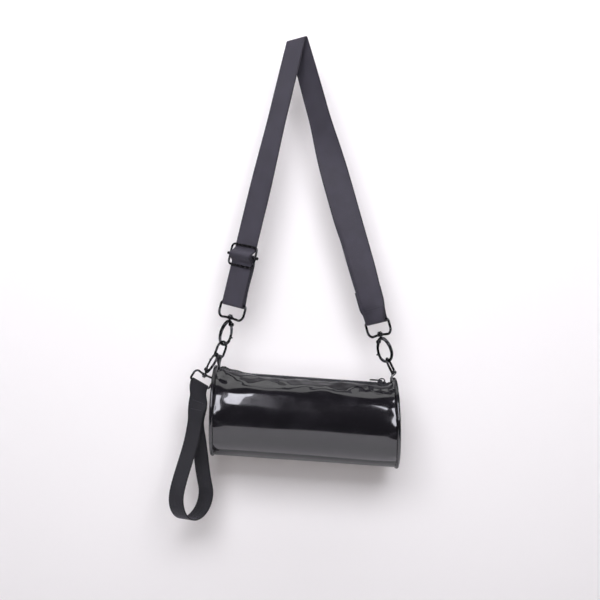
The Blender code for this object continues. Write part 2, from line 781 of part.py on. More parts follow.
@dataclass(frozen=True)
class Chain:
    """What hangs on one side: a leg of the strap, its clasp, and the ring that holds the bag's end."""

    word: str
    side: int
    leg_length: float
    turn_shares: tuple
    curl: float
    clasp_lean: float
    hook_swivel: float
    ring_lean: float
    ring_turn: float
    ring_out: float
    ring_rise: float

    def leg(self, lean):
        """The leg, leaning by this angle."""
        return Leg(self.side, self.leg_length, lean, self.turn_shares, self.curl)

    def clasp(self, leg):
        """Frame of the clasp on this leg."""
        return chain_frame(leg, self.clasp_lean, self.side)

    def ring(self, leg):
        """Frame of the ring under this leg."""
        return ring_frame(self.clasp(leg), self.ring_lean, self.ring_turn, self.side)

    def bar(self):
        """Place of the ring's bar in the bag's frame."""
        return Vector((end_place(self.side, RADIUS) + self.side * self.ring_out, 0, RADIUS + self.ring_rise))


CHAINS = (
    Chain(
        word="left",
        side=-1,
        leg_length=LEFT_LEG_LENGTH,
        turn_shares=LEFT_TURN_SHARES,
        curl=0.0,
        clasp_lean=LEFT_CLASP_LEAN,
        hook_swivel=LEFT_HOOK_SWIVEL,
        ring_lean=LEFT_RING_LEAN,
        ring_turn=LEFT_RING_TURN,
        ring_out=LEFT_RING_OUT,
        ring_rise=LEFT_RING_RISE,
    ),
    Chain(
        word="right",
        side=1,
        leg_length=RIGHT_LEG_LENGTH,
        turn_shares=RIGHT_TURN_SHARES,
        curl=1.0,
        clasp_lean=RIGHT_CLASP_LEAN,
        hook_swivel=RIGHT_HOOK_SWIVEL,
        ring_lean=RIGHT_RING_LEAN,
        ring_turn=RIGHT_RING_TURN,
        ring_out=RIGHT_RING_OUT,
        ring_rise=RIGHT_RING_RISE,
    ),
)


def crossing(left, left_reach, right, right_reach):
    """Upper point (x, z) at these distances from two points."""
    base = right - left
    out = base.normalized()
    along = (base.length_squared + left_reach**2 - right_reach**2) / (2 * base.length)
    return left + out * along + Vector((-out.y, out.x)) * math.sqrt(left_reach**2 - along**2)


def hang_bag():
    """Both legs and the bag's frame: the crease at the origin, and each ring's bar where its tab is.

    A clasp turns a little with the leg that carries it, so the leans settle in a few rounds.
    """
    turn = Matrix.Rotation(BAG_TILT, 4, "Y")
    legs = [chain.leg(FIRST_LEG_LEAN) for chain in CHAINS]
    for _ in range(HANG_ROUNDS):
        feet = []
        for chain, leg in zip(CHAINS, legs):
            foot = turn @ chain.bar() - (chain.ring(leg).translation - leg.down * leg.length)
            feet.append(Vector((foot.x, foot.z)))
        crease = crossing(feet[0], LEFT_LEG_LENGTH, feet[1], RIGHT_LEG_LENGTH)
        legs = [
            chain.leg(math.atan2(chain.side * (foot.x - crease.x), crease.y - foot.y))
            for chain, foot in zip(CHAINS, feet)
        ]
    return *legs, Matrix.Translation((-crease.x, 0, -crease.y)) @ turn


LEFT_LEG, RIGHT_LEG, BAG_FRAME = hang_bag()


def skin(place, angle, depth):
    """Point of the bag's skin; angle 0 is the top, positive to the back, and depth is inwards."""
    radius = RADIUS - depth
    height = radius * math.cos(angle)
    from_left = (place - end_place(-1, RADIUS)) / LEFT_RISE_LENGTH
    from_right = (end_place(1, RADIUS) - place) / RIGHT_RISE_LENGTH
    sag = TOP_SAG * smoothstep(min(from_left, from_right))
    height -= sag * (max(height, 0) / RADIUS) ** 2
    return Vector((place, radius * math.sin(angle), height))


def skin_row(share, angles, depth, inset):
    """Points of the skin round the bag at a share of its length between the insets."""
    row = []
    for angle in angles:
        height = RADIUS * math.cos(angle)
        left = end_place(-1, height) + inset
        right = end_place(1, height) - inset
        row.append(skin(left + (right - left) * share, angle, depth))
    return row


MOUTH_ANGLE = math.asin(MOUTH_WIDTH / 2 / RADIUS)
SEAM_INSET = PIPING_WIRE / 2 + GAP
TAPE_DEPTH = VINYL + GAP + TAPE_ROOM + TAPE_THICKNESS / 2
TEETH_END = TEETH_START + (TEETH_COUNT + TOOTH_SHIFT_SHARE) * TOOTH_PITCH
TEETH_HEIGHT = RADIUS - TOP_SAG - TAPE_DEPTH
SPINE_OUTER = SPINE_INNER + SPINE_WIDTH


def make_body(parts, bag, vinyl):
    """The panel that is rolled into the barrel, open along the zip."""
    start = MOUTH_ANGLE
    end = 2 * math.pi - MOUTH_ANGLE
    angles = [start + (end - start) * step / BODY_STEPS for step in range(BODY_STEPS + 1)]
    shares = [(1 - math.cos(math.pi * step / BODY_ROWS)) / 2 for step in range(BODY_ROWS + 1)]
    rows = [skin_row(share, angles, VINYL / 2, SEAM_INSET) for share in shares]
    put(sheet("body_panel", rows, VINYL), parts, bag, Matrix(), vinyl)


def make_end(side, word, parts, bag, vinyl, cloth):
    """End panel, the piping round it and the bound seam inside."""
    lean = math.tan(LEFT_END_LEAN if side < 0 else RIGHT_END_LEAN)
    shear = Matrix(((1, 0, -lean, side * BAG_LENGTH / 2), (0, 1, 0, 0), (0, 0, 1, 0), (0, 0, 0, 1)))
    piping_radius = RADIUS - VINYL * PIPING_SINK_SHARE
    panel_radius = piping_radius - PIPING_WIRE / 2 - GAP
    panel = cylinder(f"end_panel_{word}", panel_radius, VINYL, axis=(1, 0, 0), sides=ROUND_SIDES)
    panel.data.transform(shear)
    put(panel, parts, bag, Matrix(), vinyl)
    bpy.ops.mesh.primitive_torus_add(
        major_segments=ROUND_SIDES,
        minor_segments=6,
        major_radius=piping_radius,
        minor_radius=PIPING_WIRE / 2,
        rotation=(0, math.pi / 2, 0),
    )
    piping = bpy.context.object
    piping.name = f"piping_{word}"
    bpy.ops.object.transform_apply(rotation=True)
    piping.data.transform(shear)
    shade(piping, math.pi)
    put(piping, parts, bag, Matrix(), vinyl)
    base = VINYL + GAP + BINDING_THICKNESS / 2
    rows = []
    for inset in (SEAM_INSET, SEAM_INSET + BINDING_WIDTH):
        row = []
        for step in range(BODY_STEPS + 1):
            angle = MOUTH_ANGLE + (2 * math.pi - 2 * MOUTH_ANGLE) * step / BODY_STEPS
            aside = min(angle, 2 * math.pi - angle) * RADIUS
            near_top = smoothstep(2 - aside / (SPINE_OUTER + TAPE_WIDTH))
            depth = base + BINDING_ROOM + (TAPE_THICKNESS + BINDING_ROOM) * near_top
            row.append(skin(end_place(side, RADIUS * math.cos(angle)) - side * inset, angle, depth))
        rows.append(row)
    binding = sheet(f"seam_binding_{word}", rows, BINDING_THICKNESS)
    put(binding, parts, bag, Matrix(), cloth)


def make_tape(word, side, parts, bag, cloth):
    """One tape of the zip, under the panel's edge; its ends close up beyond the teeth."""
    inset = SEAM_INSET + 2 * (VINYL + GAP) + GAP
    left = end_place(-1, RADIUS) + inset
    right = end_place(1, RADIUS) - inset
    zone_start = TEETH_START - STOP_LENGTH - 2 * GAP
    zone_end = TEETH_END + STOP_LENGTH + 2 * GAP
    outer = SPINE_OUTER + GAP + TAPE_WIDTH
    shares = [step / TAPE_STEPS for step in range(TAPE_STEPS + 1)]
    low = left + LEFT_RISE_LENGTH
    high = right - RIGHT_RISE_LENGTH
    places = [left + (low - left) * share for share in shares]
    places += [low + (high - low) * share for share in shares[1:-1]]
    places += [high + (right - high) * share for share in shares]
    rows = []
    for place in places:
        beyond = max((zone_start - place) / (zone_start - left), (place - zone_end) / (right - zone_end))
        closed = smoothstep((beyond - TAPE_CLOSE_SHARE) / (1 - TAPE_CLOSE_SHARE))
        inner = GAP + SPINE_OUTER * (1 - closed)
        asides = (inner, (inner + outer) / 2, outer)
        rows.append([skin(place, side * aside / RADIUS, TAPE_DEPTH) for aside in asides])
    put(sheet(f"zip_tape_{word}", rows, TAPE_THICKNESS), parts, bag, Matrix(), cloth)


def make_teeth(word, side, parts, bag, plastic):
    """One row of moulded teeth on its spine; the two rows mesh with half a pitch between them."""
    tooth = TOOTH_PITCH / 2 - TOOTH_GAP
    reach = SPINE_INNER - 2 * TOOTH_GAP
    taper = TOOTH_GAP
    shift = 0 if side < 0 else TOOTH_PITCH * TOOTH_SHIFT_SHARE
    points = [(TEETH_START, side * SPINE_OUTER), (TEETH_START, side * SPINE_INNER)]
    for number in range(TEETH_COUNT):
        low = TEETH_START + shift + number * TOOTH_PITCH + TOOTH_GAP / 2
        points.append((low, side * SPINE_INNER))
        points.append((low + taper, -side * reach))
        points.append((low + tooth - taper, -side * reach))
        points.append((low + tooth, side * SPINE_INNER))
    points += [(TEETH_END, side * SPINE_INNER), (TEETH_END, side * SPINE_OUTER)]
    row = outline(f"zip_teeth_{word}", points, TEETH_THICKNESS)
    put(row, parts, bag, Matrix.Translation((0, 0, TEETH_HEIGHT)), plastic)


def make_stops(parts, bag, metal):
    """Two top stops beyond the slider and one bottom stop at the open end."""
    half = TEETH_THICKNESS / 2
    end = TEETH_END + GAP
    for word, side in (("front", -1), ("back", 1)):
        near = side * (SPINE_INNER + GAP)
        far = side * SPINE_OUTER
        stop = box(
            f"zip_stop_{word}",
            (end, min(near, far), TEETH_HEIGHT - half),
            (end + STOP_LENGTH, max(near, far), TEETH_HEIGHT + half),
        )
        put(stop, parts, bag, Matrix(), metal)
    start = TEETH_START - GAP
    stop = box(
        "zip_stop_end",
        (start - STOP_LENGTH, -SPINE_OUTER, TEETH_HEIGHT - half),
        (start, SPINE_OUTER, TEETH_HEIGHT + half),
    )
    put(stop, parts, bag, Matrix(), metal)


POST_RADIUS = SPINE_INNER - GAP
SLIDER_PLACE = TEETH_END + 2 * GAP + 2 * POST_RADIUS - SLIDER_LENGTH / 2


def make_slider(parts, helpers, bag, metal):
    """Slider: two plates with flanges, held together by the post between the rows, and a bridge."""
    carrier = empty("zip_run", parts, bag, Matrix.Translation((SLIDER_PLACE, 0, TEETH_HEIGHT)))
    half_length = SLIDER_LENGTH / 2
    half_width = SPINE_OUTER + GAP + SLIDER_WALL
    inner = TEETH_THICKNESS / 2 + GAP
    outer = inner + SLIDER_PLATE
    slider = box("zip_slider", (-half_length, -half_width, inner), (half_length, half_width, outer))
    low = box("slider_low", (-half_length, -half_width, -outer), (half_length, half_width, -inner))
    combine(slider, "UNION", low, helpers)
    tape_room = TAPE_THICKNESS / 2 + 2 * GAP
    for side in (-1, 1):
        for level in (-1, 1):
            near = side * (SPINE_OUTER + GAP)
            far = side * half_width
            ends = sorted((level * tape_room, level * (inner + SLIDER_PLATE / 2)))
            flange = box(
                f"slider_flange_{side}_{level}",
                (-half_length, min(near, far), ends[0]),
                (half_length, max(near, far), ends[1]),
            )
            combine(slider, "UNION", flange, helpers)
    post = cylinder(
        "slider_post",
        POST_RADIUS,
        2 * inner + SLIDER_PLATE,
        (half_length - POST_RADIUS, 0, 0),
        UP,
        8,
    )
    combine(slider, "UNION", post, helpers)
    top = outer + GAP + PULL_WIRE + BRIDGE_ROOM + BRIDGE_WIRE / 2
    reach = BRIDGE_LENGTH / 2
    base = outer - SLIDER_PLATE / 2
    arch = [(-reach, base), (-reach, top - reach / 2), (-reach / 2, top), (reach / 2, top)]
    arch += [(reach, top - reach / 2), (reach, base)]
    bridge = as_mesh(wire("slider_bridge", [(x, 0, z) for x, z in arch], BRIDGE_WIRE / 2, 1))
    combine(slider, "UNION", bridge, helpers)
    put(slider, parts, carrier, Matrix(), metal)
    pull_height = outer + GAP + PULL_WIRE / 2
    half = PULL_WIDTH / 2
    points = rounded_loop(half, -half, PULL_LENGTH - half, half - GAP / 2, 4)
    flat = [(-z - half, x, 0) for x, z in points]
    pull = wire("zip_pull", flat, PULL_WIRE / 2, 1, True)
    put(pull, parts, carrier, Matrix.Translation((0, 0, pull_height)), metal)


def make_tab(word, side, ring, parts, bag, vinyl):
    """Vinyl strip that stands in the end seam where the zip ends, round the ring's bar and back."""
    local = BAG_FRAME.inverted() @ ring
    bar = local.translation
    bar_way = local.to_3x3() @ Vector((1, 0, 0))
    layer = (VINYL + GAP) / 2
    inset = SEAM_INSET + VINYL / 2 + layer
    low = RADIUS - TAB_ROOT_DEPTH
    high = RADIUS + GAP
    root = Vector((end_place(side, low) - side * inset, 0, low))
    rim = Vector((end_place(side, high) - side * inset, 0, high))
    neck = bar - (bar - rim).normalized() * TAB_NECK
    flat = Vector((0, 1, 0))
    spine = [(root, 0), (rim, 0), ((rim + neck) / 2, 1 / 2), (neck, 1)]
    ways = [rim - root, neck - root, bar - rim, bar - rim]
    shares = (-1, 0, 1)
    first = []
    second = []
    for (place, turned), way in zip(spine, ways):
        along = way.normalized()
        across = flat.lerp(bar_way, turned)
        across = (across - across.dot(along) * along).normalized()
        normal = along.cross(across).normalized()
        centre = place + across * TAB_OFFSET * turned
        first.append([centre + normal * layer + across * share * TAB_WIDTH / 2 for share in shares])
        second.append([centre - normal * layer + across * share * TAB_WIDTH / 2 for share in shares])
    towards = bar - rim
    towards = (towards - towards.dot(bar_way) * bar_way).normalized()
    normal = towards.cross(bar_way).normalized()
    wrap_radius = RING_WIRE / 2 + GAP + VINYL / 2
    centre = bar + bar_way * TAB_OFFSET
    wrap = []
    for step in range(FOLD_STEPS + 1):
        turn = TAB_WRAP_START + TAB_WRAP_SWEEP * step / FOLD_STEPS
        middle = centre + wrap_radius * (normal * math.cos(turn) + towards * math.sin(turn))
        wrap.append([middle + bar_way * share * TAB_WIDTH / 2 for share in shares])
    rows = first + wrap + second[::-1]
    put(sheet(f"side_tab_{word}", rows, VINYL), parts, bag, Matrix(), vinyl)


def wrist_path(fold):
    """(place, aside) pairs of the wrist strap, from its inner end round the bar and the open loop."""
    layer = WRIST_WEBBING_THICKNESS + WRIST_LAYER_ROOM
    centre = WRIST_LENGTH - WRIST_LOOP_RADIUS
    slant = math.asin(WRIST_LOOP_RADIUS / (centre - WRIST_SPLIT))
    middle = (WRIST_SEWN_END + WRIST_SPLIT) / 2
    path = [(middle, 0), (WRIST_SEWN_END, 0), (WRIST_NECK, -fold / 2)]
    turns = [math.pi * (step / FOLD_STEPS - 1) for step in range(FOLD_STEPS + 1)]
    path += [(fold * math.sin(turn), fold * math.cos(turn)) for turn in turns]
    path += [(WRIST_NECK, (layer + fold) / 2), (WRIST_SEWN_END, layer), (middle, layer), (WRIST_SPLIT, layer)]
    for step in range(WRIST_LOOP_STEPS + 1):
        turn = slant - (math.pi + 2 * slant) * step / WRIST_LOOP_STEPS
        path.append((centre - WRIST_LOOP_RADIUS * math.sin(turn), WRIST_LOOP_RADIUS * math.cos(turn)))
    path += [(WRIST_SPLIT, -layer), (middle, -layer), (WRIST_SEWN_END, -layer)]
    return path


def make_wrist_strap(parts, clasp, frame, paint):
    """Narrow webbing sewn round the small loop's bar, and its open loop for the wrist."""
    bar = frame.translation
    bar_way = frame.to_3x3() @ Vector((1, 0, 0))
    low_way = plan(WRIST_TURN)
    step = GAP

    def hang(place):
        """Point down the strap's middle."""
        drift = WRIST_LENGTH * between(WRIST_DRIFT_SHARES, place / WRIST_LENGTH)
        down = Vector((drift, 0, -place))
        slip = down.dot(bar_way) * (1 - smoothstep(place / WRIST_SEWN_END))
        return bar + down - bar_way * slip

    rows = []
    fold = clasp.loop_wire / 2 + GAP + WRIST_WEBBING_THICKNESS / 2
    for place, aside in wrist_path(fold):
        turned = smoothstep(place / WRIST_LENGTH / WRIST_TURNED_SHARE)
        across = bar_way.lerp(low_way, turned).normalized()
        along = (hang(place + step) - hang(place)).normalized()
        back = along.cross(across).normalized()
        middle = hang(place) + back * aside
        rows.append([middle + across * WRIST_WEBBING_WIDTH / 2 * part for part in (-1, 0, 1)])
    strap = sheet("wrist_strap", rows, WRIST_WEBBING_THICKNESS)
    put(strap, parts, None, Matrix(), paint)


def main():
    """Build the bag."""
    clear_scene()
    parts = new_collection("barrel_bag")
    helpers = new_collection("cutters", hidden=True)
    webbing = material("webbing", (0.045, 0.043, 0.058), 0.8)
    wrist_webbing = material("wrist_webbing", (0.02, 0.02, 0.026), 0.8)
    metal = material("gunmetal", (0.07, 0.07, 0.08), 0.3, 1.0)
    vinyl = material("vinyl", (0.012, 0.012, 0.015), 0.08, 0.0, 1.0)
    cloth = material("zip_tape", (0.015, 0.015, 0.018), 0.85)
    plastic = material("zip_teeth", (0.02, 0.02, 0.024), 0.3)

    make_strap(parts, webbing)
    make_adjuster(parts, helpers, metal)

    bag = empty("bag", parts, None, BAG_FRAME)
    make_body(parts, bag, vinyl)
    for word, side in (("left", -1), ("right", 1)):
        make_end(side, word, parts, bag, vinyl, cloth)
    for word, side in (("front", -1), ("back", 1)):
        make_tape(word, side, parts, bag, cloth)
        make_teeth(word, side, parts, bag, plastic)
    make_stops(parts, bag, metal)
    make_slider(parts, helpers, bag, metal)

    rings = {}
    for chain, leg in zip(CHAINS, (LEFT_LEG, RIGHT_LEG)):
        word = chain.word
        loop = empty(f"{word}_loop", parts, None, chain.clasp(leg))
        make_loop(f"{word}_swivel_loop", SHOULDER_CLASP, parts, helpers, loop, metal)
        hook = empty(f"{word}_clasp", parts, loop, Matrix.Rotation(chain.hook_swivel, 4, "Z"))
        make_hook(word, SHOULDER_CLASP, -chain.side, parts, helpers, hook, metal)
        rings[word] = chain.ring(leg)
        make_ring(f"ring_{word}", parts, rings[word], None, metal)
        make_tab(word, chain.side, rings[word], parts, bag, vinyl)

    clasp = WRIST_CLASP
    lift = (RING_WIRE + clasp.hook_low_wire) / 2 + GAP
    stem = WRIST_STEM.normalized()
    apex = rings["left"] @ Vector((WRIST_HOOK_PLACE, 0, 0)) - stem * lift
    wrist_bar = apex - stem * clasp.hook_low
    hook_frame = axes(wrist_bar, WRIST_HOOK_SIDE, stem)
    wrist = empty("wrist_clasp", parts, None, hook_frame)
    make_hook("wrist", clasp, -1, parts, helpers, wrist, metal)
    loop_frame = axes(wrist_bar, WRIST_LOOP_SIDE, stem)
    loop = empty("wrist_loop", parts, None, loop_frame)
    make_loop("wrist_swivel_loop", clasp, parts, helpers, loop, metal)
    make_wrist_strap(parts, clasp, loop_frame, wrist_webbing)


main()
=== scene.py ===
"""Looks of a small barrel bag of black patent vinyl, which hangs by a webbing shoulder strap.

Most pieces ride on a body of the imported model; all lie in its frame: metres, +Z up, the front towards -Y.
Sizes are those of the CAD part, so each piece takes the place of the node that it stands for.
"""

import logging
import math
from dataclasses import dataclass
from enum import Enum
from typing import Iterable, Sequence

import bpy
from mathutils import Matrix, Vector, noise


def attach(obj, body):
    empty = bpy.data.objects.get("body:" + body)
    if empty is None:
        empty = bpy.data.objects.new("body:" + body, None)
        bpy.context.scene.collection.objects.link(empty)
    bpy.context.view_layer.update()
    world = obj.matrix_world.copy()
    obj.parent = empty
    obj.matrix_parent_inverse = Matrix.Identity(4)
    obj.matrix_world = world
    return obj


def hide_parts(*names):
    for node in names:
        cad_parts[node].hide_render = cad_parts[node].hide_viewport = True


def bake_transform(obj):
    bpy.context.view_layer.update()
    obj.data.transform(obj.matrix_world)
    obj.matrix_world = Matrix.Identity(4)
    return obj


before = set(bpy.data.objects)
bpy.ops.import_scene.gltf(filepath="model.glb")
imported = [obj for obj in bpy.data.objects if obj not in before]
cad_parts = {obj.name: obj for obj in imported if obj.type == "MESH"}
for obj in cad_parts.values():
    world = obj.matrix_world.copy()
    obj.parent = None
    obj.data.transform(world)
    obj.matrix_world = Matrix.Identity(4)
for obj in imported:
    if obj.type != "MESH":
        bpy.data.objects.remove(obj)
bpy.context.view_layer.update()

LOG = logging.getLogger("barrel_bag")
UP = Vector((0.0, 0.0, 1.0))
GAP = 0.0003
MOVING_GAP = 0.0004
VINYL = 0.001
RING_WIRE = 0.0025
RING_HEIGHT = 0.017
NOISE_STRETCH = 1.6
DOME_DEPTH = 0.45
DOME_LIFTS = (28, 54, 76)
RIM_SHARE = 0.18

Point = tuple[float, float]
Table = tuple[Point, ...]
Colour = tuple[float, float, float]
Piece = bpy.types.Object
Paint = bpy.types.Material
Socket = bpy.types.NodeSocket


# ---- plain geometry


def smoothstep(share: float) -> float:
    """Ease a share from 0 to 1."""
    share = min(max(share, 0.0), 1.0)
    return share * share * (3 - 2 * share)


def between(points: Table, place: float) -> float:
    """Smoothly read a table.

    Args:
        points: pairs of place and value, in order.
        place: where to read.

    Returns:
        The value there.
    """
    if place <= points[0][0]:
        return points[0][1]
    for (start, first), (end, last) in zip(points, points[1:]):
        if place <= end:
            return first + (last - first) * smoothstep((place - start) / (end - start))
    return points[-1][1]


def arc(centre: Point, radius: float, start: float, end: float, steps: int) -> list[Point]:
    """Points along an arc.

    Args:
        centre: its centre.
        radius: its radius.
        start: first angle in degrees.
        end: last angle in degrees.
        steps: number of parts.

    Returns:
        The points, both ends included.
    """
    angles = [math.radians(start + (end - start) * step / steps) for step in range(steps + 1)]
    return [(centre[0] + radius * math.cos(turn), centre[1] + radius * math.sin(turn)) for turn in angles]


def rounded_loop(half: float, low: float, high: float, corner: float, steps: int) -> list[Point]:
    """Points round a rectangle with round corners.

    Args:
        half: half its width.
        low: its low side.
        high: its high side.
        corner: radius of its corners.
        steps: number of parts of a corner.

    Returns:
        The points.
    """
    inner = half - corner
    centres = ((inner, low + corner), (inner, high - corner), (-inner, high - corner), (-inner, low + corner))
    path = []
    for centre, start in zip(centres, (-90, 0, 90, 180)):
        path += arc(centre, corner, start, start + 90, steps)
    return path


def axes(origin: Vector, x_axis: Vector, z_axis: Vector) -> Matrix:
    """Frame at origin: Z as given, X as near as it can be to the one given.

    Args:
        origin: its origin.
        x_axis: wanted way of X.
        z_axis: way of Z.

    Returns:
        The frame.
    """
    z_axis = z_axis.normalized()
    x_axis = (x_axis - x_axis.dot(z_axis) * z_axis).normalized()
    turn = Matrix((x_axis, z_axis.cross(x_axis), z_axis)).transposed().to_4x4()
    return Matrix.Translation(origin) @ turn


def plan(turn: float) -> Vector:
    """Level direction at this angle from +X towards the front."""
    return Vector((math.cos(turn), -math.sin(turn), 0.0))


def resample(points: Sequence[Point], step: float) -> list[Point]:
    """Smooth a polyline.

    Args:
        points: its corners.
        step: wanted distance between the new points.

    Returns:
        Points on a centripetal Catmull-Rom curve through the corners.
    """
    made = [points[0]]
    for place in range(len(points) - 1):
        p1, p2 = Vector(points[place]), Vector(points[place + 1])
        p0 = Vector(points[place - 1]) if place else 2 * p1 - p2
        p3 = Vector(points[place + 2]) if place + 2 < len(points) else 2 * p2 - p1
        t1 = max((p1 - p0).length, 1e-9) ** 0.5
        t2 = t1 + max((p2 - p1).length, 1e-9) ** 0.5
        t3 = t2 + max((p3 - p2).length, 1e-9) ** 0.5
        parts = max(1, math.ceil((p2 - p1).length / step))
        for part in range(1, parts + 1):
            t = t1 + (t2 - t1) * part / parts
            a1 = p0 * ((t1 - t) / t1) + p1 * (t / t1)
            a2 = p1 * ((t2 - t) / (t2 - t1)) + p2 * ((t - t1) / (t2 - t1))
            a3 = p2 * ((t3 - t) / (t3 - t2)) + p3 * ((t - t2) / (t3 - t2))
            b1 = a1 * ((t2 - t) / t2) + a2 * (t / t2)
            b2 = a2 * ((t3 - t) / (t3 - t1)) + a3 * ((t - t1) / (t3 - t1))
            mixed = b1 * ((t2 - t) / (t2 - t1)) + b2 * ((t - t1) / (t2 - t1))
            made.append((mixed[0], mixed[1]))
    return made


def crumple(x: float, y: float, seed: float) -> float:
    """Even noise from -1 to 1 at a point of a sheet."""
    return noise.noise(Vector((x, y, seed))) * NOISE_STRETCH


# ---- Blender helpers


def deselect() -> None:
    """Let go of everything, which every operator needs first."""
    for thing in list(bpy.context.selected_objects):
        thing.select_set(False)


def hold(thing: Piece) -> None:
    """Select one object alone and make it active.

    Args:
        thing: the object.
    """
    deselect()
    thing.select_set(True)
    bpy.context.view_layer.objects.active = thing


def join(things: Sequence[Piece], name: str) -> Piece:
    """Join objects into the first one.

    Args:
        things: the objects.
        name: the name of what they become.

    Returns:
        The joined object.
    """
    deselect()
    for thing in things:
        thing.select_set(True)
    bpy.context.view_layer.objects.active = things[0]
    if len(things) > 1:
        bpy.ops.object.join()
    made = bpy.context.view_layer.objects.active
    made.name = name
    return made


def settle(thing: Piece, place: Matrix) -> Piece:
    """Move a mesh to its place and leave its object at the origin.

    Args:
        thing: the object.
        place: its place.

    Returns:
        The object.
    """
    thing.data.transform(place @ thing.matrix_world)
    thing.matrix_world = Matrix()
    return thing


def smooth(thing: Piece, sharp: float = 40.0) -> None:
    """Smooth shading, with edges sharper than this many degrees kept."""
    hold(thing)
    bpy.ops.object.shade_smooth_by_angle(angle=math.radians(sharp))


def boolean(body: Piece, tool: Piece, operation: str) -> None:
    """Apply a Boolean and drop the tool.

    Args:
        body: what is changed.
        tool: what changes it.
        operation: UNION or DIFFERENCE.
    """
    step = body.modifiers.new(operation.lower(), "BOOLEAN")
    step.operation = operation
    step.solver = "EXACT"
    step.object = tool
    hold(body)
    bpy.ops.object.modifier_apply(modifier=step.name)
    bpy.data.objects.remove(tool, do_unlink=True)


def bevelled(thing: Piece, width: float, segments: int = 2, angle: float = 30.0) -> Piece:
    """Round an object's edges for good.

    Args:
        thing: the object.
        width: the bevel's width.
        segments: its steps.
        angle: edges sharper than this many degrees are rounded.

    Returns:
        The object.
    """
    step = thing.modifiers.new("bevel", "BEVEL")
    step.width = width
    step.segments = segments
    step.limit_method = "ANGLE"
    step.angle_limit = math.radians(angle)
    hold(thing)
    bpy.ops.object.modifier_apply(modifier=step.name)
    return thing


def block(low: Sequence[float], high: Sequence[float]) -> Piece:
    """Box between two corners, added at its size and place.

    Args:
        low: its lowest corner.
        high: its highest corner.

    Returns:
        The box.
    """
    deselect()
    middle = [(a + b) / 2 for a, b in zip(low, high)]
    bpy.ops.mesh.primitive_cube_add(size=1, location=middle, scale=[b - a for a, b in zip(low, high)])
    bpy.ops.object.transform_apply(location=True, rotation=True, scale=True)
    return bpy.context.object


def work_face(
    thing: Piece, way: Vector, grow: Sequence[float] = (1, 1, 1), move: Sequence[float] | None = None
) -> Piece:
    """Scale the faces that look one way, as by hand, after extruding them where a move is given.

    Args:
        thing: the object.
        way: where the faces look.
        grow: scale along each axis, about the faces' middle.
        move: extrusion.

    Returns:
        The object.
    """
    hold(thing)
    bpy.ops.object.mode_set(mode="EDIT")
    bpy.ops.mesh.select_mode(type="FACE")
    bpy.ops.mesh.select_all(action="DESELECT")
    bpy.ops.object.mode_set(mode="OBJECT")
    corners = []
    for face in thing.data.polygons:
        face.select = face.normal.dot(way) > 0.9
        if face.select:
            corners += [thing.data.vertices[corner].co for corner in face.vertices]
    middle = sum(corners, Vector()) / len(corners)
    bpy.ops.object.mode_set(mode="EDIT")
    if move is not None:
        bpy.ops.mesh.extrude_region_move(TRANSFORM_OT_translate={"value": move})
        middle = middle + Vector(move)
    bpy.ops.transform.resize(value=grow, center_override=middle)
    bpy.ops.object.mode_set(mode="OBJECT")
    return thing


def turned(radius: float, height: float, centre: Sequence[float], axis: Vector = UP, sides: int = 32) -> Piece:
    """Disc or pin with softened rims.

    Args:
        radius: its radius.
        height: its length along the axis.
        centre: its middle.
        axis: its axis.
        sides: sides of its circle.

    Returns:
        The object.
    """
    deselect()
    bpy.ops.mesh.primitive_cylinder_add(
        vertices=sides, radius=radius, depth=height, location=centre, rotation=axis.to_track_quat("Z", "Y").to_euler()
    )
    bpy.ops.object.transform_apply(location=True, rotation=True, scale=True)
    return bevelled(bpy.context.object, min(radius, height) * RIM_SHARE, 3, 50)


